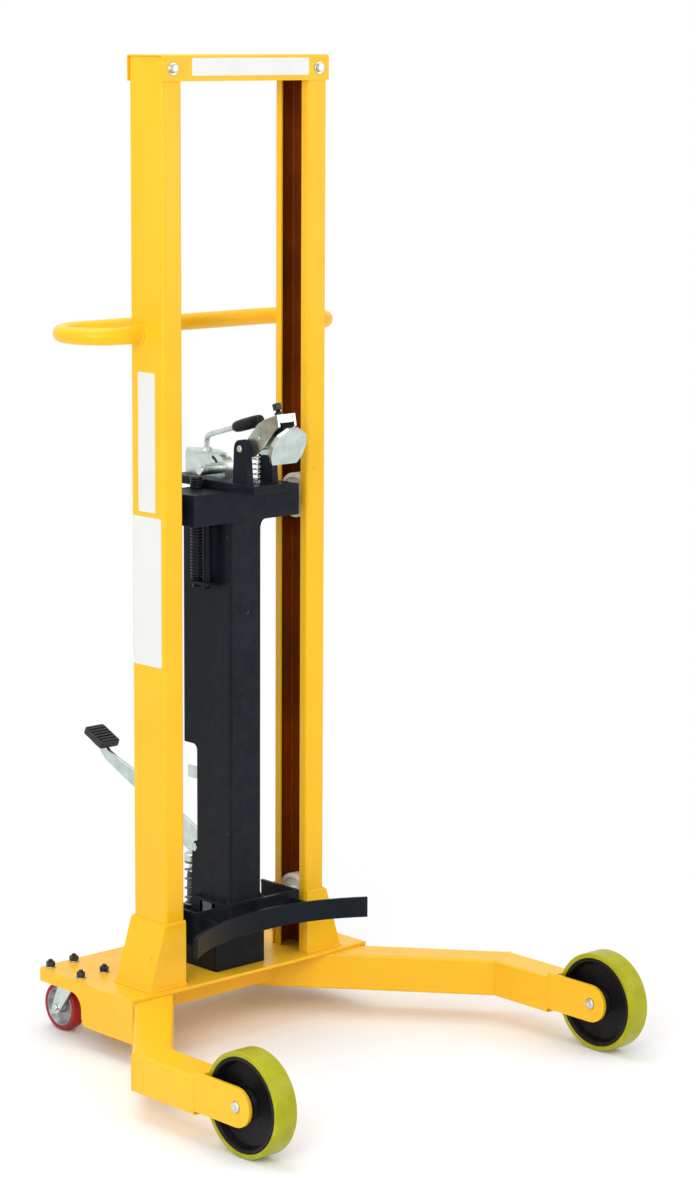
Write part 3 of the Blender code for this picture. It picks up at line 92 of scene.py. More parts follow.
def at(x, y, z):
    """A place measured from the floor between the masts."""
    return Vector((x, y + MAST_Y, z))


# ------------------------------------------------------------------ settings

def size_prop(name, text, default):
    return bpy.props.FloatProperty(name=name, description=text, default=default,
                                   unit="LENGTH", min=0.0, precision=4)


def angle_prop(name, text, degrees):
    return bpy.props.FloatProperty(name=name, description=text, default=math.radians(degrees),
                                   subtype="ANGLE")


def colour_prop(name, text, default):
    return bpy.props.FloatVectorProperty(name=name, description=text, default=default,
                                         subtype="COLOR", size=3, min=0.0, max=1.0)


class StackerSizes(bpy.types.PropertyGroup):
    """Sizes of the finer shapes that the CAD leaves out."""
    edge: size_prop("Sheet edge", "Rounding of the edges of sheet and plate", 0.0014)
    casting_edge: size_prop("Cast edge", "Rounding of the edges of cast pieces", 0.0022)
    bead: size_prop("Weld bead", "Radius of a weld bead", 0.0032)
    ripple: size_prop("Weld ripple", "Distance from one ripple of a bead to the next", 0.0042)
    sticker: size_prop("Sticker", "Thickness of a sticker", 0.0003)
    thread_pitch: size_prop("Thread pitch", "Pitch of the threads that show", 0.0015)


class StackerColours(bpy.types.PropertyGroup):
    """Base colours of the finishes."""
    enamel: colour_prop("Enamel", "Yellow enamel of the frame", (0.965, 0.540, 0.010))
    enamel_deep: colour_prop("Deep enamel", "Enamel where it lies thicker", (0.950, 0.462, 0.007))
    black: colour_prop("Black paint", "Paint of the carriage and the tank", (0.005, 0.009, 0.014))
    zinc: colour_prop("Zinc", "Bright zinc plate", (0.490, 0.565, 0.530))
    tyre: colour_prop("Wheel tyre", "Polyurethane of the front wheels", (0.432, 0.420, 0.005))
    caster: colour_prop("Caster tyre", "Polyurethane of the casters", (0.400, 0.018, 0.022))
    nylon: colour_prop("Nylon", "Mast rollers", (0.700, 0.640, 0.500))
    sticker: colour_prop("Sticker", "Blank stickers", (0.800, 0.805, 0.790))


class StackerStage(bpy.types.PropertyGroup):
    """Camera and floor."""
    azimuth: angle_prop("Azimuth", "Camera's turn about the machine", -42.6941)
    elevation: angle_prop("Elevation", "Camera's height angle", 10.2283)
    roll: angle_prop("Roll", "Camera's roll", 0.3215)
    distance: size_prop("Distance", "From the camera to its target", 6.6388)
    lens: bpy.props.FloatProperty(name="Lens", description="Focal length in millimetres",
                                  default=96.01)
    floor: colour_prop("Floor", "Colour of the studio floor", (0.94, 0.95, 0.965))


def sizes():
    return bpy.context.scene.stacker_sizes


def colours():
    return bpy.context.scene.stacker_colours


# ------------------------------------------------------------------ node groups

class Graph:
    """Adds and links shader nodes in one node tree."""

    def __init__(self, tree):
        self.tree = tree

    def put(self, value, socket):
        """Links a socket to an input, or sets the input's own value."""
        if isinstance(value, bpy.types.NodeSocket):
            self.tree.links.new(value, socket)
        else:
            socket.default_value = value

    def feed(self, node, label, value):
        label = label.replace("_", " ").lower()
        self.put(value, next(s for s in node.inputs if s.name.lower() == label and s.enabled))

    def add(self, kind, **settings):
        """A new node; what starts with in_ feeds its inputs."""
        node = self.tree.nodes.new(kind)
        for key, value in settings.items():
            if key.startswith("in_"):
                self.feed(node, key[3:], value)
            else:
                setattr(node, key, value)
        return node

    def maths(self, operation, first, second, clamp=False):
        node = self.add("ShaderNodeMath", operation=operation, use_clamp=clamp)
        self.put(first, node.inputs[0])
        self.put(second, node.inputs[1])
        return node.outputs[0]

    def times(self, first, second):
        return self.maths("MULTIPLY", first, second)

    def span(self, value, low, high, to_low=0.0, to_high=1.0):
        """Maps low to high onto to_low to to_high, and clamps."""
        return self.add("ShaderNodeMapRange", clamp=True, in_Value=value, in_From_Min=low,
                        in_From_Max=high, in_To_Min=to_low, in_To_Max=to_high).outputs["Result"]

    def noise(self, vector, scale, detail, roughness=0.55):
        return self.add("ShaderNodeTexNoise", in_Vector=vector, in_Scale=scale,
                        in_Detail=detail, in_Roughness=roughness).outputs["Fac"]

    def mix(self, factor, first, second):
        """Mixes two colours, each given as three numbers or as a socket."""
        node = self.add("ShaderNodeMix", data_type="RGBA")
        self.put(factor, node.inputs[0])
        for index, value in ((6, first), (7, second)):
            flat = not isinstance(value, bpy.types.NodeSocket)
            self.put((*value, 1.0) if flat else value, node.inputs[index])
        return node.outputs[2]

    def seen(self):
        """1 for rays of the camera, of a reflection and of a refraction, else 0."""
        path = self.add("ShaderNodeLightPath").outputs
        both = self.maths("ADD", path["Is Camera Ray"], path["Is Glossy Ray"])
        return self.maths("ADD", both, path["Is Transmission Ray"], clamp=True)


def surface_grain(graph, place, given):
    """Fine texture of a coat or a casting: a height and a spread of gloss."""
    return (graph.noise(place, given["Scale"], 4.0),
            graph.noise(place, given["Patch Scale"], 5.0, 0.6))


def edge_wear(graph, place, given):
    """Masks for rubbed edges, scattered small chips and long scuffs."""
    sharp = graph.span(graph.add("ShaderNodeNewGeometry").outputs["Pointiness"], 0.53, 0.61)
    breakup = graph.span(graph.noise(place, 45.0, 6.0, 0.7), 0.42, 0.62)
    rubbed = graph.times(graph.times(sharp, breakup), given["Edge"])
    chips = graph.span(graph.noise(place, given["Chip Scale"], 2.0, 0.4), 0.735, 0.755)
    rare = graph.span(graph.noise(place, 9.0, 2.0), 0.55, 0.62)
    stretched = graph.add("ShaderNodeMapping", in_Vector=place, in_Scale=(90.0, 90.0, 7.0))
    scuffs = graph.span(graph.noise(stretched.outputs[0], 1.0, 5.0, 0.62), 0.60, 0.80)
    return rubbed, graph.times(chips, rare), scuffs


def shop_dust(graph, place, given):
    """Dust that settles low on the machine and on what faces up."""
    height = graph.add("ShaderNodeSeparateXYZ", in_Vector=place).outputs["Z"]
    low = graph.maths("SUBTRACT", 1.0, graph.maths("DIVIDE", height, given["Reach"]), clamp=True)
    normal = graph.add("ShaderNodeNewGeometry").outputs["Normal"]
    facing = graph.add("ShaderNodeSeparateXYZ", in_Vector=normal).outputs["Z"]
    up = graph.times(graph.span(facing, 0.4, 1.0), 0.5)
    spread = graph.span(graph.noise(place, 22.0, 6.0, 0.65), 0.38, 0.70)
    both = graph.times(graph.maths("MAXIMUM", low, up), spread)
    return (graph.maths("MULTIPLY", both, given["Amount"], clamp=True),)


# fill function, inputs with their defaults, outputs
MASKS = {
    "surface_grain": (surface_grain, {"Scale": 400.0, "Patch Scale": 14.0}, ("Height", "Patches")),
    "edge_wear": (edge_wear, {"Edge": 0.5, "Chip Scale": 60.0}, ("Rubbed", "Chips", "Scuffs")),
    "shop_dust": (shop_dust, {"Amount": 0.4, "Reach": 0.30}, ("Dust",)),
}
GROUPS = {}


def mask_group(name):
    """The shared node group of that name, made when it is first asked for."""
    if name not in GROUPS:
        fill, inputs, outputs = MASKS[name]
        group = GROUPS[name] = bpy.data.node_groups.new(name, "ShaderNodeTree")
        for label, default in inputs.items():
            group.interface.new_socket(label, in_out="INPUT",
                                       socket_type="NodeSocketFloat").default_value = default
        for label in outputs:
            group.interface.new_socket(label, in_out="OUTPUT", socket_type="NodeSocketFloat")
        graph = Graph(group)
        given, out = graph.add("NodeGroupInput").outputs, graph.add("NodeGroupOutput").inputs
        place = graph.add("ShaderNodeTexCoord").outputs["Object"]
        for label, value in zip(outputs, fill(graph, place, given)):
            graph.put(value, out[label])
    return GROUPS[name]


# ------------------------------------------------------------------ finishes

FINISHES = {}


def finish(name, base, layers, gloss, relief, dulled=None, look=None, **masks):
    """A finish: tones laid over a base by masks, a spread of gloss and a fine relief.

    A layer is a mask, its strength and its tone; the strength of Patches is the span that it
    is mapped from and its most. Each of masks is a node group with the values of its inputs.
    The numbers in look sit on the shader's own sockets.
    """
    material = FINISHES[name] = bpy.data.materials.new(name)
    material.use_nodes = True
    graph = Graph(material.node_tree)
    shader = material.node_tree.nodes["Principled BSDF"]
    for label, value in {"Coat Roughness": 0.08, **(look or {})}.items():
        shader.inputs[label].default_value = value
    found = {}
    for group, values in masks.items():
        node = graph.add("ShaderNodeGroup", node_tree=mask_group(group))
        for socket, value in zip(node.inputs, values):
            socket.default_value = value
        found.update(node.outputs.items())
    colour = base
    for mask, strength, tone in layers:
        if mask == "Patches":
            low, high, most = strength
            amount = graph.span(found[mask], low, high, 0.0, most)
        else:
            amount = graph.times(found[mask], strength)
        colour = graph.mix(amount, colour, tone)
    graph.put(colour, shader.inputs["Base Color"])
    rough = graph.span(found["Patches"], 0.3, 0.7, *gloss)
    if dulled:
        rough = graph.maths("ADD", rough, graph.times(found[dulled[0]], dulled[1]))
    graph.put(rough, shader.inputs["Roughness"])
    bump = graph.add("ShaderNodeBump", in_Strength=relief[0], in_Distance=relief[1],
                     in_Height=found["Height"])
    graph.put(bump.outputs["Normal"], shader.inputs["Normal"])


def enamel():
    """Glossy yellow enamel with a light orange peel, thicker patches and small chips."""
    tone = colours()
    finish("yellow_enamel", tone.enamel,
           [("Patches", (0.35, 0.72, 0.45), tone.enamel_deep),
            ("Rubbed", 1.0, (1.0, 0.62, 0.08)), ("Chips", 0.35, (0.50, 0.24, 0.04)),
            ("Dust", 1.0, (0.70, 0.44, 0.12))],
           gloss=(0.26, 0.38), relief=(0.10, 0.0006), dulled=("Dust", 0.5),
           look={"Coat Weight": 0.04, "Specular IOR Level": 0.26},
           surface_grain=(260.0, 5.0), edge_wear=(0.35, 70.0), shop_dust=(0.16, 0.25))


def rail_grease_and_shade():
    """Old greasy film over enamel inside the channels where the rollers run; its dark brown is
    also painted shade of the channel's recess.
    """
    # Dark brown base and darker patches: greasy film together with painted shade inside the
    # channel.
    finish("rail_grease_and_shade", (0.270, 0.050, 0.001),
           [("Patches", (0.30, 0.70, 1.0), (0.145, 0.029, 0.001)),
            ("Scuffs", 0.4, (0.26, 0.085, 0.008))],
           gloss=(0.26, 0.48), relief=(0.25, 0.0006), look={"Specular IOR Level": 0.15},
           surface_grain=(180.0, 9.0), edge_wear=(0.4, 60.0))


def black_paint():
    """Blue-black semi-gloss paint with pale scuffs and bare edges."""
    finish("black_paint", colours().black,
           [("Patches", (0.35, 0.75, 1.0), (0.009, 0.014, 0.021)),
            ("Scuffs", 0.22, (0.045, 0.056, 0.068)), ("Rubbed", 0.4, (0.09, 0.060, 0.04)),
            ("Chips", 0.5, (0.12, 0.12, 0.12)), ("Dust", 1.0, (0.05, 0.05, 0.05))],
           gloss=(0.30, 0.46), relief=(0.16, 0.0005), dulled=("Scuffs", 0.12),
           look={"Specular IOR Level": 0.11},
           surface_grain=(420.0, 7.0), edge_wear=(0.5, 95.0), shop_dust=(0.06, 0.4))


def zinc_plate():
    """Bright zinc on steel, clouded and faintly yellow in patches."""
    finish("zinc_plate", colours().zinc,
           [("Patches", (0.35, 0.68, 1.0), (0.68, 0.75, 0.72)),
            ("Scuffs", 0.25, (0.42, 0.42, 0.34)), ("Rubbed", 1.0, (0.80, 0.82, 0.80))],
           gloss=(0.24, 0.40), relief=(0.12, 0.0003), look={"Metallic": 1.0},
           surface_grain=(700.0, 38.0), edge_wear=(0.5, 160.0))


def hard_chrome():
    """Ground chrome of the piston rod."""
    finish("hard_chrome", (0.78, 0.78, 0.79), [("Patches", (0.4, 0.7, 1.0), (0.70, 0.70, 0.72))],
           gloss=(0.07, 0.16), relief=(0.04, 0.0002), look={"Metallic": 1.0},
           surface_grain=(900.0, 30.0))


def sticker_vinyl():
    """Blank white vinyl, faintly yellowed."""
    finish("sticker_vinyl", colours().sticker,
           [("Patches", (0.35, 0.75, 0.6), (0.75, 0.745, 0.70))],
           gloss=(0.30, 0.42), relief=(0.05, 0.0002), look={"Coat Weight": 0.2},
           surface_grain=(600.0, 16.0))


def dark_steel(name, base, worn):
    """Oiled, blackened or cast steel, brighter where it rubs."""
    finish(name, base,
           [("Patches", (0.4, 0.75, 1.0), [c * 2.2 for c in base]), ("Rubbed", 1.0, worn)],
           gloss=(0.28, 0.50), relief=(0.2, 0.0004), look={"Metallic": 0.75},
           surface_grain=(800.0, 60.0), edge_wear=(0.8, 200.0))


def polyurethane(name, tone, deepening, scale):
    """Cast polyurethane: smooth, a little cloudy, scuffed matt where it rolls."""
    finish(name, tone,
           [("Patches", (0.34, 0.70, 1.0), [c * deepening for c in tone]),
            ("Scuffs", 0.35, [min(1.0, c * 1.4 + 0.01) for c in tone]),
            ("Dust", 1.0, [c * 0.70 + 0.02 for c in tone])],
           gloss=(0.22, 0.40), relief=(0.10, 0.0006), dulled=("Dust", 0.6),
           look={"Coat Weight": 0.05, "Specular IOR Level": 0.20, "Subsurface Weight": 0.06,
                 "Subsurface Radius": (0.004, 0.004, 0.001)},
           surface_grain=(scale, 24.0), edge_wear=(0.2, 120.0), shop_dust=(0.22, 0.22))


def moulded(name, base, pale, roughness, scale, strength, specular=0.5):
    """Moulded plastic, rubber or cast iron: a plain tone with grain and dusty recesses."""
    finish(name, base,
           [("Patches", (0.35, 0.72, 1.0), [c * 1.5 for c in base]), ("Rubbed", 1.0, pale),
            ("Scuffs", 0.25, pale), ("Dust", 1.0, [c * 0.6 + 0.03 for c in pale])],
           gloss=(roughness - 0.07, roughness + 0.10), relief=(strength, 0.0006),
           look={"Specular IOR Level": specular},
           surface_grain=(scale, 18.0), edge_wear=(0.5, 140.0), shop_dust=(0.25, 0.22))


def make_finishes():
    tone = colours()
    for plain in (enamel, rail_grease_and_shade, black_paint, zinc_plate, hard_chrome, sticker_vinyl):
        plain()
    dark_steel("dark_steel", (0.035, 0.036, 0.040), (0.25, 0.24, 0.23))
    dark_steel("spring_steel", (0.15, 0.145, 0.115), (0.60, 0.575, 0.505))
    dark_steel("black_oxide", (0.020, 0.021, 0.024), (0.14, 0.13, 0.12))
    dark_steel("caster_rim", (0.22, 0.225, 0.225), (0.60, 0.60, 0.59))
    polyurethane("wheel_tyre", tone.tyre, 0.78, 240.0)
    polyurethane("caster_tyre", tone.caster, 0.70, 300.0)
    moulded("hub_iron", (0.0030, 0.0030, 0.0034), (0.020, 0.019, 0.018), 0.42, 260.0, 0.35, 0.15)
    moulded("black_plastic", (0.005, 0.005, 0.006), (0.02, 0.02, 0.02), 0.34, 520.0, 0.25, 0.16)
    moulded("black_rubber", (0.012, 0.012, 0.013), (0.07, 0.068, 0.065), 0.60, 700.0, 0.4)
    moulded("nylon", tone.nylon, (0.80, 0.76, 0.66), 0.42, 420.0, 0.12)


SLOT_FINISH = {
    "paint": "yellow_enamel", "black": "black_paint", "zinc": "zinc_plate",
    "chrome": "hard_chrome", "dark_steel": "dark_steel", "wheel_polymer": "wheel_tyre",
    "plastic": "black_plastic", "caster_polymer": "caster_tyre", "caster_rim": "caster_rim",
    "rubber": "black_rubber", "nylon": "nylon",
}


# ------------------------------------------------------------------ modelling helpers

AXES = {"X": Vector((1, 0, 0)), "Y": Vector((0, 1, 0)), "Z": Vector((0, 0, 1))}


def direction_of(axis):
    return AXES[axis] if isinstance(axis, str) else Vector(axis).normalized()


def deselect():
    for item in list(bpy.context.selected_objects):
        item.select_set(False)


def activate(item):
    deselect()
    item.select_set(True)
    bpy.context.view_layer.objects.active = item
    return item


def apply_all(item):
    activate(item)
    for modifier in list(item.modifiers):
        bpy.ops.object.modifier_apply(modifier=modifier.name)
    return item


def apply_place(item):
    activate(item)
    bpy.ops.object.transform_apply(location=True, rotation=True, scale=True)
    return item


def edit_all(item):
    activate(item)
    bpy.ops.object.mode_set(mode="EDIT")
    bpy.ops.mesh.select_all(action="SELECT")


def cleaned(item, weld=0.0):
    """Merges points closer than weld and turns every face outward."""
    edit_all(item)
    if weld:
        bpy.ops.mesh.remove_doubles(threshold=weld)
    bpy.ops.mesh.normals_make_consistent(inside=False)
    bpy.ops.object.mode_set(mode="OBJECT")
    return item


def bevelled(item, width, segments):
    modifier = item.modifiers.new("edges", "BEVEL")
    modifier.width = width
    modifier.segments = segments
    modifier.limit_method = "ANGLE"
    modifier.angle_limit = BEVEL_ANGLE
    modifier.miter_outer = "MITER_ARC"
    return apply_all(item)


def combined(item, tool, operation):
    """Cuts an item with a tool, or keeps only what they share; the tool goes."""
    modifier = item.modifiers.new("combine", "BOOLEAN")
    modifier.operation = operation
    modifier.solver = "EXACT"
    modifier.object = tool
    apply_all(item)
    bpy.data.objects.remove(tool, do_unlink=True)
    return item


def added(item, name, body, slot, finish_name=None):
    """Names, smooths and paints a piece, and hangs it on its body."""
    item.name = item.data.name = name
    apply_place(item)
    bpy.ops.object.shade_smooth_by_angle(angle=SMOOTH_ANGLE)
    item.data.materials.clear()
    item.data.materials.append(FINISHES[finish_name or SLOT_FINISH[slot]])
    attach(item, body)
    return item


def stand_in(item, name, node, finish_name=None):
    """The same for a piece that is seen in place of a CAD solid, on that solid's body."""
    added(item, name, BODY_OF[node], SLOT_OF[node], finish_name)
    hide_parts(node)
    return item


def dressed(node, edge, segments, name=None):
    """A copy of a CAD solid with clean faces and rounded edges, which stands for it."""
    item = NODES[node].copy()
    item.data = item.data.copy()
    item.parent = None
    item.matrix_world = Matrix.Identity(4)
    for key in [key for key in item.keys() if key.startswith("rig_")]:
        del item[key]
    bpy.context.scene.collection.objects.link(item)
    activate(item)
    bpy.ops.mesh.customdata_custom_splitnormals_clear()
    edit_all(item)
    bpy.ops.mesh.remove_doubles(threshold=MERGE)
    bpy.ops.mesh.dissolve_limited(angle_limit=FLAT_ANGLE)
    bpy.ops.object.mode_set(mode="OBJECT")
    bevelled(item, edge, segments)
    stand_in(item, name or node + "_body", node)
    level = item.modifiers.new("level", "WEIGHTED_NORMAL")     # large faces shade flat
    level.weight = 100
    level.keep_sharp = True
    return apply_all(item)


def spun(profile, axis, centre, steps):
    """Turns a profile of (radius, distance along the axis) points, as on a lathe."""
    direction = direction_of(axis)
    across = direction.orthogonal().normalized()
    centre = Vector(centre)
    points = [centre + across * radius + direction * along for radius, along in profile]
    deselect()
    bpy.ops.mesh.primitive_plane_add(size=0.001, location=points[0])
    item = bpy.context.object
    bpy.ops.object.mode_set(mode="EDIT")
    bpy.ops.mesh.select_mode(type="VERT")
    bpy.ops.mesh.select_all(action="SELECT")
    bpy.ops.mesh.merge(type="CENTER")
    for before, after in zip(points, points[1:]):
        bpy.ops.mesh.extrude_region_move(TRANSFORM_OT_translate={"value": after - before})
    bpy.ops.mesh.select_all(action="SELECT")
    bpy.ops.mesh.spin(steps=steps, angle=2 * math.pi, center=centre, axis=direction)
    bpy.ops.object.mode_set(mode="OBJECT")
    return cleaned(item, 0.000004)


def mirrored(right):
    """The other half of a profile that is the same both ways along its axis."""
    return [(radius, -along) for radius, along in reversed(right)]


def hollow(right):
    """A closed profile of a ring, from its right half."""
    return right + mirrored(right) + right[:1]


def slab(outline, axis, low, high):
    """A plate of any outline: (y, z) along X, (x, z) along Y or (x, y) along Z."""
    def place(first, second, along):
        return {"X": Vector((along, first, second)), "Y": Vector((first, along, second)),
                "Z": Vector((first, second, along))}[axis]
    deselect()
    bpy.ops.mesh.primitive_circle_add(vertices=len(outline), radius=0.01, fill_type="NGON")
    item = bpy.context.object
    for vertex, (first, second) in zip(item.data.vertices, outline):
        vertex.co = place(first, second, low)
    edit_all(item)
    bpy.ops.mesh.extrude_region_move(TRANSFORM_OT_translate={"value": place(0, 0, high - low)})
    bpy.ops.object.mode_set(mode="OBJECT")
    return cleaned(item)


def join(first, *others):
    activate(first)
    for other in others:
        other.select_set(True)
    bpy.ops.object.join()
    return first


def arc(centre, radius, start, end, steps):
    turns = [math.radians(start + (end - start) * i / steps) for i in range(steps + 1)]
    return [(centre[0] + radius * math.cos(turn), centre[1] + radius * math.sin(turn))
            for turn in turns]


def rounded_box(half_x, half_y, corner, steps=5, centre=(0, 0)):
    outline = []
    for turn, (sx, sy) in enumerate(((1, 1), (-1, 1), (-1, -1), (1, -1))):
        outline += arc((centre[0] + sx * (half_x - corner), centre[1] + sy * (half_y - corner)),
                       corner, 90 * turn, 90 * turn + 90, steps)
    return outline


def swept(points, radius, sides, radii=None):
    """A round bar along points, with closed ends."""
    curve = bpy.data.curves.new("sweep", "CURVE")
    curve.dimensions = "3D"
    curve.bevel_depth = radius
    curve.bevel_resolution = sides
    curve.use_fill_caps = True
    spline = curve.splines.new("POLY")
    spline.points.add(len(points) - 1)
    for index, (target, point) in enumerate(zip(spline.points, points)):
        target.co = (*point, 1.0)
        target.radius = radii[index] if radii else 1.0
    item = bpy.data.objects.new("sweep", curve)
    bpy.context.scene.collection.objects.link(item)
    activate(item)
    bpy.ops.object.convert(target="MESH")
    return cleaned(bpy.context.object, 0.000005)


def resampled(points, step):
    """Even points along a broken line."""
    result = [Vector(points[0])]
    carry = 0.0
    for start, end in zip(points, points[1:]):
        start, end = Vector(start), Vector(end)
        length = (end - start).length
        travelled = step - carry
        while travelled < length:
            result.append(start.lerp(end, travelled / length))
            travelled += step
        carry = length - (travelled - step)
    if (result[-1] - Vector(points[-1])).length > step * 0.3:
        result.append(Vector(points[-1]))
    return result


def weld_bead(points, scale):
    """A rippled bead laid along a seam."""
    path = resampled(points, sizes().ripple / 4)
    radii = [0.86 + 0.14 * math.sin(2 * math.pi * i / 4) + 0.07 * math.sin(i * 0.37 + 1.3)
             + 0.05 * math.sin(i * 0.113) for i in range(len(path))]
    radii[0] = radii[-1] = 0.45
    return swept(path, sizes().bead * scale, 2, radii)


def coil(centre, radius, bottom, top, turns, steps):
    """Points of a coil spring whose end turns lie flat."""
    count = int(turns * steps)
    points = []
    for step in range(count + 1):
        share = step / count
        eased = min(max((share * turns - 0.75) / (turns - 1.5), 0.0), 1.0)
        angle = 2 * math.pi * turns * share
        points.append((centre.x + radius * math.cos(angle), centre.y + radius * math.sin(angle),
                       bottom + (top - bottom) * eased))
    return points


def hexagon(axis, centre, across_flats, low, high, chamfer=0.0012, turn=0.0):
    """A hexagonal nut or head with its corners turned off."""
    direction = direction_of(axis)
    radius = across_flats / math.sqrt(3)
    middle = Vector(centre) + direction * (low + high) / 2
    deselect()
    bpy.ops.mesh.primitive_cylinder_add(vertices=6, radius=radius, depth=high - low,
                                        location=middle)
    item = bpy.context.object
    turning = AXES["Z"].rotation_difference(direction).to_matrix().to_4x4()
    item.matrix_world = (Matrix.Translation(middle) @ Matrix.Rotation(turn, 4, direction)
                         @ turning)
    apply_place(item)
    face, rim, clear = radius - chamfer * 1.6, radius * 1.02, 0.001
    trim = spun([(0, low - clear), (face, low - clear), (face, low), (rim, low + chamfer),
                 (rim, high - chamfer), (face, high), (face, high + clear), (0, high + clear)],
                direction, centre, 32)
    return combined(item, trim, "INTERSECT")


def threaded(axis, centre, radius, low, high, steps=28):
    """A threaded shank end: rings of the thread's depth, and a chamfered tip."""
    pitch = sizes().thread_pitch
    depth = pitch * 0.35
    profile = [(0, low)]
    along = low
    while along + pitch < high - 0.001:
        profile += [(radius, along), (radius - depth, along + pitch / 2)]
        along += pitch
    profile += [(radius, high - 0.0012), (radius - 0.0014, high), (0, high)]
    return spun(profile, axis, centre, steps)


def washer(axis, centre, outer, inner, low, high):
    edge = min(0.0004, (high - low) * 0.3)
    return spun([(inner, low), (outer - edge, low), (outer, low + edge), (outer, high - edge),
                 (outer - edge, high), (inner, high), (inner, low)], axis, centre, 40)


def bolt(axis, centre, radius, shank, thread=None, nuts=()):
    """A plain shank, its threaded end, and each head or nut as (flats, low, high)."""
    low, high = shank
    parts = [spun([(0, low), (radius, low), (radius, high), (0, high)], axis, centre, 24)]
    if thread:
        parts.append(threaded(axis, centre, radius, *thread))
    return join(*parts, *[hexagon(axis, centre, *nut) for nut in nuts])


def block(place, size):
    """A box of that size round a place."""
    deselect()
    bpy.ops.mesh.primitive_cube_add(size=1, location=place)
    item = bpy.context.object
    item.scale = size
    return apply_place(item)


# ------------------------------------------------------------------ pieces

class PieceOperator:
    """What every piece's operator shares."""
    bl_options = {"REGISTER"}

    def execute(self, context):
        self.build()
        return {"FINISHED"}


class STACKER_OT_base(PieceOperator, bpy.types.Operator):
    """Base plate, cross tube, splayed legs and the fork plates at the wheels"""
    bl_idname = "stacker.base"
    bl_label = "Base and legs"

    def build(self):
        edge = sizes().edge
        dressed("base_plate", edge * 1.3, 3)
        dressed("cross_tube", edge, 2)
        for side, _ in SIDES:
            dressed("leg_" + side, edge * 0.6, 2)
            dressed("fork_outer_" + side, edge, 3)
            dressed("fork_inner_" + side, edge, 3)


class STACKER_OT_masts(PieceOperator, bpy.types.Operator):
    """The two channel masts, their boots and the folded cap"""
    bl_idname = "stacker.masts"
    bl_label = "Masts and crosspiece"

    def build(self):
        for side, _ in SIDES:
            # The inner faces of each channel get the dark finish that paints the channel's shade
            # along with its greasy film.
            self.grease_and_shade(dressed("mast_" + side, sizes().edge * 0.4, 2), "mast_" + side)
            dressed("mast_foot_" + side, sizes().edge, 3)
        dressed("crosspiece", sizes().edge * 0.5, 2)

    def grease_and_shade(self, mast, node):
        """Gives the faces inside the channel the dark finish of the roller track: greasy film and
        painted shade of the recess.
        """
        mast.data.materials.append(FINISHES["rail_grease_and_shade"])
        _, high, centre, half = measure(node)
        wall = 0.0036
        half_x, half_y = half.x - wall, half.y - wall
        for face in mast.data.polygons:
            place = face.center
            deep = abs(place.x - centre.x) < half_x or (place.x - centre.x) * centre.x > 0
            inside = abs(place.y - centre.y) < half_y and abs(place.x) < abs(centre.x) + half_x
            if deep and inside and place.z < high.z - 0.001:
                face.material_index = 1


class STACKER_OT_welds(PieceOperator, bpy.types.Operator):
    """Weld beads of the painted frame"""
    bl_idname = "stacker.welds"
    bl_label = "Frame welds"

    def build(self):
        beads = []
        for side, sign in SIDES:
            beads += self.foot_beads(side, sign) + self.leg_beads(side, sign)
            beads.append(self.handle_bead(side, sign))
        added(join(*beads), "frame_welds", "frame", "paint")

    def foot_beads(self, side, sign):
        low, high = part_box("mast_foot_" + side)
        inner, outer = flanks("mast_foot_" + side, sign)
        mast_low, mast_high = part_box("mast_" + side)
        web = flanks("mast_" + side, sign)[1]
        z, top, clear = PLATE_TOP + 0.0008, high.z + 0.0004, 0.001
        foot = [(inner, low.y, z), (outer, low.y, z), (outer, high.y, z), (inner, high.y, z)]
        head = [(inner, mast_low.y - clear, top), (web, mast_low.y - clear, top),
                (web + sign * clear, mast_high.y + clear, top), (inner, mast_high.y + clear, top)]
        return [weld_bead(foot, 1.15), weld_bead(head, 0.8)]

    def leg_beads(self, side, sign):
        """Mitre seams at the bend and butt seams at the fork plates."""
        low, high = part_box("leg_" + side)
        width, turn, bend_y = 0.076, math.radians(40), at(0, -0.320, 0).y
        outer = flanks("leg_" + side, sign)[1]
        inner = outer - sign * width
        reach = width / 2 * math.tan(turn / 2)
        seam = [(inner, bend_y - reach, low.z + 0.002), (inner, bend_y - reach, high.z - 0.001),
                (outer, bend_y + reach, high.z - 0.001), (outer, bend_y + reach, low.z + 0.002)]
        butts = [weld_bead([(x, low.y, low.z + 0.003), (x, low.y, high.z - 0.003)], 0.55)
                 for x in (outer, inner)]
        return [weld_bead(seam, 0.5)] + butts

    def handle_bead(self, side, sign):
        x = flanks("mast_" + side, sign)[1] + sign * 0.0012
        centre, radius = (at(0, 0.0255, 0).y, measure("push_handle")[2].z), 0.0185
        return weld_bead([(x, y, z) for y, z in arc(centre, radius, 0, 360, 24)], 0.85)


class STACKER_OT_handle(PieceOperator, bpy.types.Operator):
    """Bent tube that the operator pushes on"""
    bl_idname = "stacker.handle"
    bl_label = "Push handle"

    def build(self):
        low, high, centre, half = measure("push_handle")
        radius = 0.017
        bend = half.y - radius
        right = [(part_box("mast_right")[1].x + GAP, low.y + radius)]
        right += arc((high.x - radius - bend, low.y + radius + bend), bend, -90, 90, 36)
        path = right + [(-x, y) for x, y in reversed(right)]
        tube = swept([(x, y, centre.z) for x, y in path], radius, 8)
        stand_in(tube, "handle_tube", "push_handle")


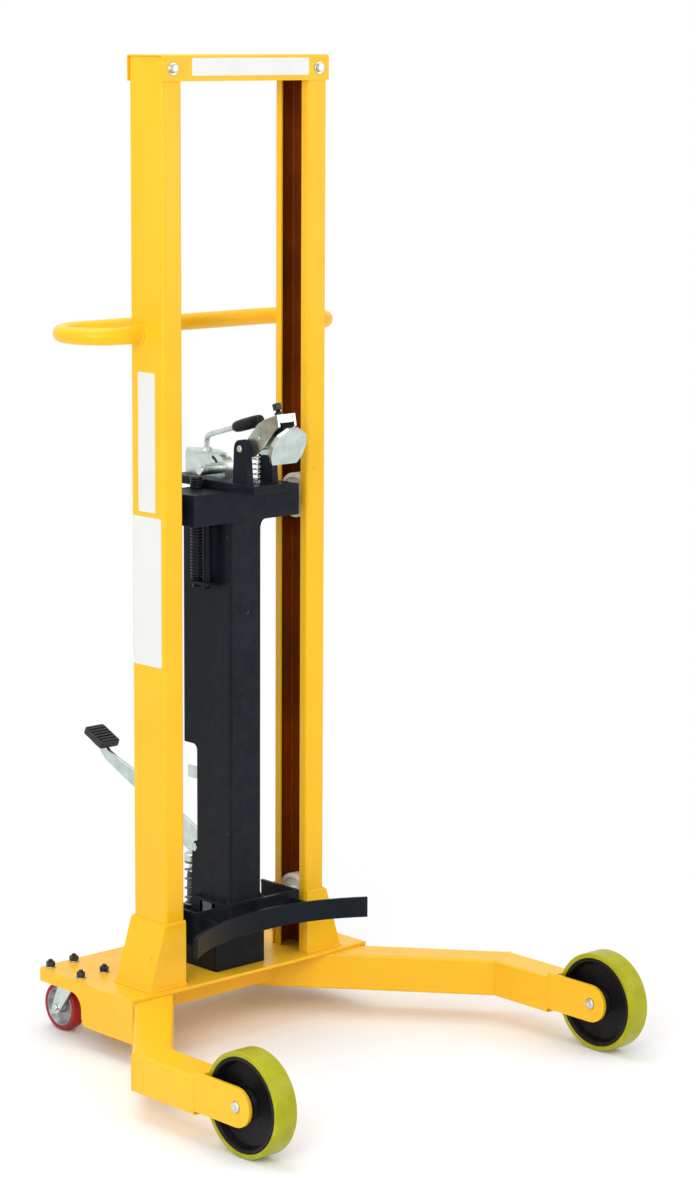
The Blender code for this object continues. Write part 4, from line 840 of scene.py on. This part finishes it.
class STACKER_OT_front_wheels(PieceOperator, bpy.types.Operator):
    """Front wheels: polyurethane tyre, dished iron hub and pin"""
    bl_idname = "stacker.front_wheels"
    bl_label = "Front wheels"

    def build(self):
        for side, _ in SIDES:
            _, _, centre, half = measure("wheel_tyre_" + side)
            boss = measure("wheel_hub_" + side)[3].x
            stand_in(spun(self.tyre(half.z, half.x), "X", centre, 128), "tyre_" + side,
                     "wheel_tyre_" + side)
            stand_in(spun(self.hub(half.z, half.x, boss), "X", centre, 96), "hub_" + side,
                     "wheel_hub_" + side, "hub_iron")
            self.pin(side, centre)

    def tyre(self, radius, half):
        bond = radius - 0.0098
        shoulder = 0.0042
        right = [(bond, half - 0.0016), (bond + 0.0012, half - 0.0004), (bond + 0.003, half),
                 (radius - shoulder - 0.0002, half)]
        right += arc((radius - shoulder - 0.0002, half - shoulder), shoulder, 75, 0, 5)
        return hollow(right + [(radius - 0.0001, half * 0.4)])

    def hub(self, radius, half, boss):
        rim = radius - 0.0101
        return hollow([
            (0.0113, boss), (0.0175, boss), (0.0190, boss - 0.0015), (0.0215, 0.0120),
            (0.0240, 0.0085), (0.0285, 0.0070), (0.0300, 0.0078), (0.0330, 0.0078),
            (0.0345, 0.0068), (rim - 0.0170, 0.0068), (rim - 0.0125, 0.0090),
            (rim - 0.0085, half - 0.0040), (rim - 0.0068, half - 0.0012),
            (rim - 0.0055, half - 0.0006), (rim - 0.0010, half - 0.0006), (rim, half - 0.0016)])

    def pin(self, side, centre):
        size = measure("wheel_pin_" + side)[3]
        radius, half = size.z, size.x
        right = [(radius - 0.0002, half - 0.0022), (radius - 0.0010, half - 0.0006),
                 (radius - 0.0022, half), (0.0032, half), (0.0024, half - 0.0009),
                 (0, half - 0.0014)]
        stand_in(spun(mirrored(right) + right, "X", centre, 48), "axle_pin_" + side,
                 "wheel_pin_" + side)


class STACKER_OT_casters(PieceOperator, bpy.types.Operator):
    """Rear casters: plate, ball race, swivel fork, wheel, axle bolt and stud nuts"""
    bl_idname = "stacker.casters"
    bl_label = "Rear casters"

    def build(self):
        for side, _ in SIDES:
            self.wheel(side)
            self.fork(side)
            self.axle(side)
            self.plate(side)
            self.nuts(side)

    def wheel(self, side):
        centre = measure("caster_axle_" + side)[2]
        size = measure("caster_tyre_" + side)[3]
        radius, half = size.z, size.x
        bond, shoulder = radius - 0.0098, 0.0058
        right = [(bond, half - 0.0014), (bond + 0.0012, half - 0.0003), (bond + 0.002, half)]
        right += arc((radius - 0.0060, half - shoulder), shoulder, 85, 10, 5)
        tyre = hollow(right + [(radius - 0.0001, half * 0.3)])
        stand_in(spun(tyre, "X", centre, 96), "red_tyre_" + side, "caster_tyre_" + side)
        rim = bond - GAP
        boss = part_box("caster_rim_" + side)[1].x - centre.x
        rim_profile = hollow([
            (0.0054, boss), (0.0088, boss), (0.0095, boss - 0.0008), (0.0100, half - 0.002),
            (0.0125, half - 0.004), (0.0140, 0.0060), (rim - 0.0100, 0.0052),
            (rim - 0.0070, 0.0070), (rim - 0.0042, half - 0.0022), (rim - 0.0030, half - 0.0008),
            (rim - 0.0006, half - 0.0008), (rim, half - 0.0016)])
        stand_in(spun(rim_profile, "X", centre, 72), "cast_rim_" + side, "caster_rim_" + side)

    def fork(self, side):
        dressed("caster_fork_" + side, 0.0012, 3, "swivel_fork_" + side)
        pivot = measure("caster_plate_" + side)[2]
        bore, top = 0.0070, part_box("caster_fork_" + side)[1].z
        race = [(bore, -0.0022), (0.0292, -0.0022), (0.0312, -0.0040), (0.0322, -0.0075),
                (0.0312, -0.0095), (0.0280, -0.0100), (bore, -0.0100), (bore, -0.0022)]
        added(spun(race, "Z", (pivot.x, pivot.y, top), 72), "ball_race_" + side,
              "caster_" + side, "zinc")

    def axle(self, side):
        _, _, centre, size = measure("caster_axle_" + side)
        half, radius, flats = size.x, 0.0047, 0.0125
        face = half - 0.006
        axle = bolt("X", centre, radius, (-half + 0.0015, face), (face - 0.001, half),
                    ((flats, -half + 0.0006, -face - 0.0002),
                     (flats, face + 0.0002, half - 0.0010)))
        stand_in(axle, "axle_bolt_" + side, "caster_axle_" + side)

    def plate(self, side):
        low, _, centre, half = measure("caster_plate_" + side)
        under = PLATE_TOP - 0.006 - GAP
        outline = rounded_box(half.x, half.y, 0.0125, 6, centre)
        plate = bevelled(slab(outline, "Z", under - 0.005, under), 0.0008, 2)
        kingpin = spun([(0, low.z), (0.0070, low.z), (0.0098, low.z + 0.0014),
                        (0.0098, low.z + 0.0038), (0.0058, low.z + 0.0038),
                        (0.0058, under - 0.002), (0, under - 0.002)],
                       "Z", (centre.x, centre.y, 0), 40)
        stand_in(join(plate, kingpin), "caster_mount_" + side, "caster_plate_" + side)

    def nuts(self, side):
        """Stud nuts above the base plate, each turned its own way."""
        centre = measure("caster_plate_" + side)[2]
        across, along, radius, flats = 0.030, 0.050, 0.0049, 0.0168
        blacks, zincs = [], []
        for index, (sx, sy) in enumerate(((-1, -1), (1, -1), (1, 1), (-1, 1))):
            spot = (centre.x + sx * across, centre.y + sy * along, PLATE_TOP)
            turn = 0.35 + 0.8 * index
            zincs.append(washer("Z", spot, 0.0112, 0.0052, GAP, 0.0022))
            blacks.append(hexagon("Z", spot, flats, 0.0023, 0.0122, 0.0014, turn))
            blacks.append(threaded("Z", spot, radius, -0.007, 0.0166, 20))
        added(join(*blacks), "stud_nuts_" + side, "frame", "dark_steel", "black_oxide")
        added(join(*zincs), "stud_washers_" + side, "frame", "zinc")


class STACKER_OT_crosspiece_bolts(PieceOperator, bpy.types.Operator):
    """Hex bolts with washers that hold the folded cap to the masts"""
    bl_idname = "stacker.crosspiece_bolts"
    bl_label = "Crosspiece bolts"

    def build(self):
        front, radius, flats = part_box("crosspiece")[0].y, 0.0049, 0.0165
        for side, _ in SIDES:
            node = "crosspiece_bolt_" + side
            _, high, centre, _ = measure(node)
            centre.y, back = 0, high.y
            screw = bolt("Y", centre, radius, (front - 0.007, back - 0.006),
                         (back - 0.0065, back), ((flats, back - 0.0109, back - 0.0032),))
            head = hexagon("Y", centre, flats, front - 0.0082, front - 0.0021, turn=0.3)
            disc = washer("Y", centre, 0.0118, 0.0052, front - 0.0020, front - GAP)
            stand_in(join(screw, head, disc), "cap_bolt_" + side, node)


class STACKER_OT_carriage(PieceOperator, bpy.types.Operator):
    """Column, crossbars and the curved bumper, with their welds and gussets"""
    bl_idname = "stacker.carriage"
    bl_label = "Carriage"

    def build(self):
        edge = sizes().casting_edge
        self.tab(dressed("carriage_column", edge * 0.5, 2))
        dressed("upper_crossbar", edge * 1.2, 3)
        dressed("lower_crossbar", edge, 3)
        dressed("bumper", edge * 0.8, 3)
        column_low, column_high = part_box("carriage_column")
        front, side = column_low.y, 0.040
        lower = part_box("lower_crossbar")
        seams = (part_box("upper_crossbar")[0].z - GAP, lower[1].z + GAP)
        gussets = []
        for sign in (-1, 1):
            gussets.append(self.gusset(sign, side, front, seams[0], -1, 0.014))
            gussets.append(self.gusset(sign, side, front, seams[1], 1, 0.011))
        added(join(*gussets), "column_gussets", "carriage", "black")
        beads = []
        for z in seams:
            x, rear = side + GAP, column_high.y - 0.060
            beads.append(weld_bead([(-x, rear, z), (-x, front, z), (x, front, z), (x, rear, z)],
                                   0.8))
        low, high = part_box("bumper")
        y, strut_inner, strut_outer = lower[0].y - 0.0004, 0.114, 0.122
        for sign in (-1, 1):
            for z in (low.z + 0.004, high.z - 0.004):
                ends = [(sign * x, y, z) for x in (strut_inner, strut_outer)]
                beads.append(weld_bead(ends, 0.7))
        added(join(*beads), "carriage_welds", "carriage", "black")

    def tab(self, column):
        """Gives the small plate inside the column's window its bare zinc."""
        column.data.materials.append(FINISHES["zinc_plate"])
        low, high = at(-0.0376, 0.0560, 0.5160), at(-0.0320, 0.0900, 0.5435)
        for face in column.data.polygons:
            if all(low[i] < face.center[i] < high[i] for i in range(3)):
                face.material_index = 1

    def gusset(self, sign, side, front, z, up, size):
        """Small quarter-round fillet plate between the column's side and a crossbar."""
        root = side + 0.0002
        outline = [(sign * root, z), (sign * root, z + up * size)]
        outline += [(sign * (root + size - across), z + up * (size - along))
                    for across, along in arc((0, 0), size, 15, 75, 4)]
        outline.append((sign * (side + size), z))
        return bevelled(slab(outline, "Y", front + 0.002, front + 0.008), 0.0006, 1)


class STACKER_OT_rollers(PieceOperator, bpy.types.Operator):
    """Nylon rollers that run in the masts"""
    bl_idname = "stacker.rollers"
    bl_label = "Mast rollers"

    def build(self):
        for level in ("upper", "lower"):
            for side, _ in SIDES:
                node = f"roller_{level}_{side}"
                _, _, centre, size = measure(node)
                radius, half = size.z, size.x
                profile = hollow([
                    (0.0103, half), (0.0180, half), (0.0195, half - 0.0010),
                    (0.0210, half - 0.0034), (radius - 0.0120, half - 0.0034),
                    (radius - 0.0095, half - 0.0010), (radius - 0.0085, half),
                    (radius - 0.0035, half), (radius - 0.0012, half - 0.0010),
                    (radius - 0.0001, half - 0.0034)])
                stand_in(spun(profile, "X", centre, 80), "mast_" + node, node)


class STACKER_OT_pump(PieceOperator, bpy.types.Operator):
    """Oil tank, lift cylinder, rod, plunger and its coil spring"""
    bl_idname = "stacker.pump"
    bl_label = "Foot pump and lift"

    def build(self):
        dressed("pump_block", sizes().casting_edge, 3)
        self.cylinder()
        self.plunger()
        self.spring()
        self.fittings()

    def cylinder(self):
        low, high, centre, half = measure("lift_cylinder")
        outer, bore, neck, foot, top = half.x, half.x - 0.005, 0.0180, low.z, high.z
        place = (centre.x, centre.y, 0)
        profile = [(bore, foot), (outer, foot), (outer, top - 0.030),
                   (outer - 0.0012, top - 0.029), (outer - 0.0012, top - 0.0265),
                   (outer, top - 0.0255), (outer, top - 0.002), (outer - 0.002, top),
                   (0.0230, top), (0.0220, top - 0.0015), (neck, top - 0.0015),
                   (neck, top - 0.024), (bore, top - 0.024), (bore, foot)]
        stand_in(spun(profile, "Z", place, 80), "cylinder_tube", "lift_cylinder")
        low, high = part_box("piston_rod")
        foot, top, radius, seal, piston = low.z, high.z, 0.0175, 0.0215, 0.0230
        profile = [(0, foot), (seal, foot), (piston, foot + 0.0015), (piston, foot + 0.0085),
                   (seal, foot + 0.0095), (seal, foot + 0.0135), (piston, foot + 0.0145),
                   (piston, foot + 0.0285), (seal, foot + 0.030), (radius, foot + 0.030),
                   (radius, top - 0.004), (radius - 0.003, top), (0, top)]
        stand_in(spun(profile, "Z", place, 80), "lift_rod", "piston_rod")

    def plunger(self):
        low, high, centre, half = measure("pump_plunger")
        cap, stem, collar = half.x, 0.0088, 0.0105
        foot, top = low.z, high.z
        neck = top - 0.016
        profile = [(0, foot), (0.0075, foot), (stem, foot + 0.0015), (stem, neck - 0.004),
                   (collar, neck - 0.003), (collar, neck), (cap - 0.001, neck),
                   (cap, neck + 0.001), (cap, neck + 0.0055), (cap - 0.0010, neck + 0.0065),
                   (cap - 0.0010, neck + 0.0085), (cap, neck + 0.0095), (cap, top - 0.002),
                   (cap - 0.002, top), (0, top)]
        stand_in(spun(profile, "Z", (centre.x, centre.y, 0), 64), "plunger_turned",
                 "pump_plunger")

    def spring(self):
        """The coil that the pedal squashes, round a sleeve."""
        low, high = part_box("pump_spring")
        wire, radius, stroke = 0.0022, 0.0160, 0.0195
        centre = measure("pump_plunger")[2]
        path = coil(centre, radius, low.z + wire, high.z - wire, 6.0, 40)
        spring = stand_in(swept(path, wire, 5), "pump_coil", "pump_spring", "spring_steel")
        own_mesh(spring)
        foot, top = low.z + 0.0002, high.z - 0.0235
        inner, outer = 0.0094, 0.0128
        sleeve = [(inner, foot), (outer, foot), (outer, top - 0.0060), (0.0120, top - 0.0052),
                  (0.0120, top - 0.0008), (0.0112, top), (inner, top), (inner, foot)]
        added(spun(sleeve, "Z", (centre.x, centre.y, 0), 56), "pump_barrel", "frame",
              "dark_steel")

    def fittings(self):
        """Filler plug and release valve on the tank, and a weld round the cylinder's foot."""
        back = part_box("pump_block")[1].y
        low, _, centre, _ = measure("lift_cylinder")
        top = low.z - GAP
        ring = [(x, y, top + 0.001) for x, y in arc(centre, 0.0300, 0, 360, 36)]
        added(weld_bead(ring, 0.9), "cylinder_weld", "frame", "black")
        spot = (-0.046, back - 0.030, top)
        plug = hexagon("Z", spot, 0.014, 0.0022, 0.0092)
        collar = washer("Z", spot, 0.0095, 0.004, 0.0002, 0.0022)
        valve = spun([(0, -0.001), (0.0090, -0.001), (0.0090, 0.006), (0.0060, 0.007),
                      (0.0060, 0.016), (0.0048, 0.0175), (0, 0.0175)],
                     "Y", (0.040, back, top - 0.042), 40)
        added(join(plug, collar, valve), "tank_fittings", "frame", "zinc")


class STACKER_OT_pedal(PieceOperator, bpy.types.Operator):
    """Foot pedal: pin, flat arm and ribbed rubber pad"""
    bl_idname = "stacker.pedal"
    bl_label = "Foot pedal"

    def build(self):
        dressed("pedal_arm", 0.0012, 3)
        _, _, centre, size = measure("pedal_pin")
        half, radius = size.x, size.z - 0.0002
        shank = spun([(0, -half + 0.001), (radius, -half + 0.001), (radius, half - 0.001),
                      (radius - 0.0010, half), (0, half)], "X", centre, 32)
        head = hexagon("X", centre, 0.016, -half - 0.0035, -half + 0.0022)
        stand_in(join(shank, head), "pedal_bolt", "pedal_pin")
        self.pad()

    def pad(self):
        """Rubber shoe with a raised rim and cross ribs."""
        half_x = measure("pedal_pad")[3].x
        half_y, lift = 0.032, 0.00775
        outline = rounded_box(half_x, half_y, 0.005)
        base = bevelled(slab(outline, "Z", -lift, lift - 0.0042), 0.0015, 2)
        rim = slab(outline, "Z", lift - 0.0045, lift - 0.0010)
        inner = slab(rounded_box(half_x - 0.0032, half_y - 0.0032, 0.0035), "Z",
                     lift - 0.006, lift + 0.001)
        rim = bevelled(combined(rim, inner, "DIFFERENCE"), 0.0006, 2)
        ribs, count = [], 6
        pitch = (half_y * 2 - 0.008) / count
        for row in range(count):
            place = (0, -half_y + 0.004 + pitch * (row + 0.5), lift - 0.0026)
            rib = block(place, (half_x * 2 - 0.0085, pitch * 0.50, 0.0050))
            ribs.append(bevelled(rib, 0.0009, 2))
        pad = join(base, rim, *ribs)
        place, tilt = at(0, 0.418, 0.540), math.radians(24)
        pad.matrix_world = Matrix.Translation(place) @ Matrix.Rotation(tilt, 4, "X")
        stand_in(pad, "pedal_shoe", "pedal_pad")


class STACKER_OT_clamp(PieceOperator, bpy.types.Operator):
    """Beak clamp: ears, arm, jaw, pins and set bolt"""
    bl_idname = "stacker.clamp"
    bl_label = "Beak clamp"

    def build(self):
        dressed("clamp_base", sizes().casting_edge, 3)
        dressed("beak_arm", 0.0012, 3)
        dressed("beak_jaw", 0.0014, 3)
        self.pin("beak_pin", 0.0008)
        self.pin("jaw_pin", 0.0006)
        self.bolt()
        self.nose()
        self.return_spring()

    def nose(self):
        """Plate that closes the upper part of the arm's open end."""
        corners = ((-0.1722, 1.2655), (-0.1694, 1.2645), (-0.1662, 1.2768), (-0.1690, 1.2778))
        outline = [(MAST_Y + y, z) for y, z in corners]
        plate = bevelled(slab(outline, "X", -0.0184, 0.0184), 0.0005, 2)
        added(plate, "beak_nose", "beak", "zinc")

    def return_spring(self):
        """Short coil between the ears, under the hub of the arm."""
        floor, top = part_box("guide_block")[0].z, 1.1880
        radius, wire, turns = 0.0078, 0.0010, 6.5
        path = coil(at(0, -0.0800, 0), radius, floor + 0.0009, top, turns, 28)
        added(swept(path, wire, 8), "beak_spring", "carriage", "zinc")

    def pin(self, node, edge):
        """A turned pin with a ring groove near each end."""
        _, _, centre, size = measure(node)
        half, radius = size.x, size.z - 0.0001
        groove = radius - 0.0009
        right = [(radius, half - 0.0040), (groove, half - 0.0036), (groove, half - 0.0026),
                 (radius, half - 0.0022), (radius, half - edge), (radius + 0.0001 - edge, half),
                 (0, half)]
        stand_in(spun(mirrored(right) + right, "X", centre, 48), node + "_turned", node)

    def bolt(self):
        """Square-head screw and lock nut, leaning with the arm's nose."""
        lean = Matrix.Rotation(math.radians(-19.4), 4, "X")
        direction = lean.to_3x3() @ AXES["Z"]
        centre = at(0, -0.1480, 1.2740)      # in the middle of the arm's nose
        shank = threaded(direction, centre, 0.0047, -0.0278, 0.0170)
        nut = hexagon(direction, centre, 0.0146, 0.0044, 0.0088)
        head = block((0, 0, 0), (0.0128, 0.0128, 0.0108))
        head.matrix_world = Matrix.Translation(centre + direction * 0.0214) @ lean
        bevelled(apply_place(head), 0.0011, 3)
        collar = washer(direction, centre, 0.0088, 0.0042, 0.0142, 0.0162)
        stand_in(join(head, shank, nut, collar), "beak_set_bolt", "set_bolt", "black_oxide")


class STACKER_OT_lock(PieceOperator, bpy.types.Operator):
    """Guide block behind the beak, its cross pin, and the lock handle with its grip"""
    bl_idname = "stacker.lock"
    bl_label = "Lock handle"

    def build(self):
        dressed("guide_block", 0.0012, 3)
        low, high, centre, size = measure("guide_pin")
        centre.x = 0
        left, right, radius, groove = low.x, high.x, size.z - 0.0002, size.z - 0.0020
        profile = [(0, left), (groove, left), (radius, left + 0.0016), (radius, left + 0.0070),
                   (groove, left + 0.0080), (groove, left + 0.0110), (radius, left + 0.0120),
                   (radius, right - 0.0014), (radius - 0.0012, right), (0, right)]
        stand_in(spun(profile, "X", centre, 56), "cross_pin", "guide_pin")
        # Dark arcs of painted shade round the pin's root, where the block's rounded end falls into
        # shade.
        self.seam(centre.z)
        self.handle()

    def seam(self, height):
        """Dark strip on both cheeks of the block, round the cross pin's root: painted shade along
        the block's rounded end.
        """
        centre, outer, inner, start, end = (at(0, 0.046, 0).y, height), 0.0240, 0.0175, 100, 215
        outline = arc(centre, outer, start, end, 16)
        outline += reversed(arc(centre, inner, start, end, 16))
        cheek, thick = 0.0110, 0.0004
        strips = [bevelled(slab(outline, "X", side * cheek - thick, side * cheek + thick),
                           0.0002, 1) for _, side in SIDES]
        # The black rubber finish paints that shade.
        added(join(*strips), "block_shade_strip", "carriage", "rubber")

    def path(self):
        """The CAD handle's line: upright, a bend, then a run that rises to the front."""
        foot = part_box("lock_handle")[0].z
        y, bend_z = at(0, 0.071, 0).y, foot + 0.047
        bend, reach, rise = 0.016, 0.158, 15.6
        points = [Vector((0, y, foot)), Vector((0, y, bend_z - 0.002))]
        points += [Vector((0, a, b)) for a, b in arc((y - bend, bend_z), bend, 0, 90 - rise, 14)]
        run = Vector((0, -math.cos(math.radians(rise)), math.sin(math.radians(rise))))
        return points + [points[-1] + run * reach]

    def handle(self):
        points = self.path()
        rod = 0.0054
        stand_in(swept(points, rod, 7), "handle_rod", "lock_handle")
        direction = (points[-1] - points[-2]).normalized()
        length, bore, r = 0.084, 0.0056, 0.0124
        start = points[-1] - direction * (length - 0.004)
        profile = [(bore, 0.0), (r - 0.0045, 0.0), (r - 0.0034, 0.0008), (r - 0.0016, 0.0050),
                   (r - 0.0006, 0.0120), (r, 0.0300), (r, 0.0560), (r - 0.0006, 0.0740),
                   (r - 0.0022, 0.0800), (r - 0.0052, 0.0832), (r - 0.0085, length),
                   (0, length), (0, 0.0803), (bore, 0.0803), (bore, 0.0)]
        stand_in(spun(profile, direction, start, 56), "handle_grip", "lock_grip")


class STACKER_OT_balance_spring(PieceOperator, bpy.types.Operator):
    """Black coil spring beside the column"""
    bl_idname = "stacker.balance_spring"
    bl_label = "Balance spring"

    def build(self):
        low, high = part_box("balance_spring")
        centre, radius, wire, turns = at(-0.058, 0.035, 0), 0.0105, 0.0018, 20.0
        path = coil(centre, radius, low.z + wire, high.z - wire, turns, 26)
        stand_in(swept(path, wire, 4), "balance_coil", "balance_spring", "black_oxide")
        self.upper_end(centre, wire)

    def upper_end(self, centre, wire):
        """The spring's last turns and their washer, above the upper crossbar."""
        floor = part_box("upper_crossbar")[1].z
        turns = swept(coil(centre, 0.0112, floor + 0.0022, floor + 0.0200, 5.5, 26), wire, 4)
        centre = (centre.x, centre.y, floor)
        disc = washer("Z", centre, 0.0132, 0.0052, 0.0212, 0.0230)
        rod = threaded("Z", centre, 0.0048, 0.0004, 0.0236, 24)
        added(join(turns, disc, rod), "balance_spring_end", "carriage", "dark_steel",
              "black_oxide")


class STACKER_OT_stickers(PieceOperator, bpy.types.Operator):
    """Blank stickers on the left mast and on the crosspiece"""
    bl_idname = "stacker.stickers"
    bl_label = "Blank stickers"

    def build(self):
        web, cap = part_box("mast_left")[0].x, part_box("crosspiece")[0].y
        for name, axis, face, a0, a1, z0, z1 in (
                ("mast_sticker_upper", "X", web, MAST_Y - 0.0245, MAST_Y + 0.0270, 1.0895, 1.3630),
                ("mast_sticker_lower", "X", web, MAST_Y - 0.0420, MAST_Y + 0.0440, 0.7840, 1.0800),
                ("cap_sticker", "Y", cap, -0.1400, 0.1600, 1.9305, 1.9640)):
            outline = rounded_box((a1 - a0) / 2, (z1 - z0) / 2, 0.003, 4,
                                  ((a0 + a1) / 2, (z0 + z1) / 2))
            back = face - 0.0001
            added(slab(outline, axis, back - sizes().sticker, back), name, "frame", "plastic",
                  "sticker_vinyl")


class STACKER_OT_finishes(PieceOperator, bpy.types.Operator):
    """Finishes of the slots, given to every CAD solid that still shows"""
    bl_idname = "stacker.finishes"
    bl_label = "Finishes"

    def build(self):
        make_finishes()
        for node, item in NODES.items():
            item.data.materials.clear()
            item.data.materials.append(FINISHES[SLOT_FINISH[SLOT_OF[node]]])


class STACKER_OT_stage(PieceOperator, bpy.types.Operator):
    """Floor, lamps, sky and the camera"""
    bl_idname = "stacker.stage"
    bl_label = "Stage"

    def build(self):
        self.floor()
        self.sky()
        self.lamps()
        self.camera()

    def floor(self):
        """A pale disc that fades to plain white away from the machine."""
        deselect()
        bpy.ops.mesh.primitive_circle_add(vertices=96, radius=40, fill_type="NGON",
                                          location=(0, 0, -0.0005))
        floor = bpy.context.object
        floor.name = "studio_floor"
        material = bpy.data.materials.new("studio_floor")
        material.use_nodes = True
        graph = Graph(material.node_tree)
        shader = material.node_tree.nodes["Principled BSDF"]
        shader.inputs["Roughness"].default_value = 0.85
        shader.inputs["Base Color"].default_value = (*bpy.context.scene.stacker_stage.floor, 1.0)
        place = graph.add("ShaderNodeTexCoord").outputs["Object"]
        length = graph.add("ShaderNodeVectorMath", operation="LENGTH")
        graph.put(place, length.inputs[0])
        shadow_ends, plain_white = 0.6, 1.7
        away = graph.span(length.outputs["Value"], shadow_ends, plain_white)
        white = graph.add("ShaderNodeEmission", in_Strength=1.0)
        blend = graph.add("ShaderNodeMixShader")
        for index, source in enumerate((graph.times(away, graph.seen()), shader.outputs[0],
                                        white.outputs[0])):
            graph.put(source, blend.inputs[index])
        output = material.node_tree.nodes["Material Output"]
        graph.put(blend.outputs[0], output.inputs["Surface"])
        floor.data.materials.append(material)

    def sky(self):
        """White where it is seen; a plain light from above for the rest."""
        world = bpy.context.scene.world = bpy.data.worlds.new("studio")
        world.use_nodes = True
        graph = Graph(world.node_tree)
        way = graph.add("ShaderNodeTexCoord").outputs["Generated"]
        height = graph.add("ShaderNodeSeparateXYZ", in_Vector=way).outputs["Z"]
        light = graph.span(height, -0.05, 0.85, 0.17, 0.94)
        strength = graph.add("ShaderNodeMix", data_type="FLOAT")
        for index, value in ((0, graph.seen()), (2, light), (3, 1.0)):
            graph.put(value, strength.inputs[index])
        back = world.node_tree.nodes["Background"]
        back.inputs["Color"].default_value = (1.0, 1.0, 1.0, 1.0)
        graph.put(strength.outputs[0], back.inputs["Strength"])

    def lamps(self):
        for name, place, size, power, aim in (
                ("key", (-3.7, -2.3, 2.6), 2.4, 88.0, (0, 0.1, 0.9)),
                ("fill", (2.6, -3.4, 2.2), 2.6, 33.0, (0, 0.1, 0.9)),
                ("top", (-0.4, 0.8, 4.2), 2.6, 49.0, (0, 0.1, 0.8))):
            light = bpy.data.lights.new(name, "AREA")
            light.energy = power
            light.size = size
            lamp = bpy.data.objects.new(name, light)
            lamp.location = place
            turn = (Vector(place) - Vector(aim)).to_track_quat("Z", "Y")
            lamp.rotation_euler = turn.to_euler()
            bpy.context.scene.collection.objects.link(lamp)

    def camera(self):
        stage = bpy.context.scene.stacker_stage
        a, e, r = stage.azimuth, stage.elevation, stage.roll
        back = Vector((math.sin(a) * math.cos(e), -math.cos(a) * math.cos(e), math.sin(e)))
        right = Vector((math.cos(a), math.sin(a), 0))
        up = back.cross(right)
        across = right * math.cos(r) + up * math.sin(r)
        upright = up * math.cos(r) - right * math.sin(r)
        data = bpy.data.cameras.new("camera")
        data.lens = stage.lens
        data.sensor_width = 36.0
        camera = bpy.data.objects.new("camera", data)
        target = at(0.3152, 0, 0.8532)
        place = target + back * stage.distance
        turn = Matrix((across, upright, back)).transposed().to_4x4()
        camera.matrix_world = Matrix.Translation(place) @ turn
        bpy.context.scene.collection.objects.link(camera)
        bpy.context.scene.camera = camera
        bpy.context.scene.view_settings.view_transform = "Standard"


class STACKER_PT_panel(bpy.types.Panel):
    """Lists the sizes, the colours and one button for each group of pieces"""
    bl_idname = "STACKER_PT_panel"
    bl_label = "Drum stacker"
    bl_space_type = "VIEW_3D"
    bl_region_type = "UI"
    bl_category = "Stacker"

    def draw(self, context):
        for settings in (sizes(), colours(), context.scene.stacker_stage):
            box = self.layout.box()
            for name in settings.bl_rna.properties.keys():
                if name not in ("rna_type", "name"):
                    box.prop(settings, name)
        for operator in OPERATORS:
            self.layout.operator(operator.bl_idname)


OPERATORS = (
    STACKER_OT_stage, STACKER_OT_finishes, STACKER_OT_base, STACKER_OT_masts, STACKER_OT_welds,
    STACKER_OT_handle, STACKER_OT_front_wheels, STACKER_OT_casters, STACKER_OT_crosspiece_bolts,
    STACKER_OT_carriage, STACKER_OT_rollers, STACKER_OT_pump, STACKER_OT_pedal,
    STACKER_OT_clamp, STACKER_OT_lock, STACKER_OT_balance_spring, STACKER_OT_stickers,
)
SETTINGS = (("stacker_sizes", StackerSizes), ("stacker_colours", StackerColours),
            ("stacker_stage", StackerStage))


def register():
    for name, settings in SETTINGS:
        bpy.utils.register_class(settings)
        setattr(bpy.types.Scene, name, bpy.props.PointerProperty(type=settings))
    for item in OPERATORS + (STACKER_PT_panel,):
        bpy.utils.register_class(item)


def unregister():
    for item in reversed(OPERATORS + (STACKER_PT_panel,)):
        bpy.utils.unregister_class(item)
    for name, settings in reversed(SETTINGS):
        delattr(bpy.types.Scene, name)
        bpy.utils.unregister_class(settings)


def main():
    register()
    for operator in OPERATORS:
        family, name = operator.bl_idname.split(".")
        getattr(getattr(bpy.ops, family), name)()
    bpy.context.view_layer.update()


if __name__ == "__main__":
    main()
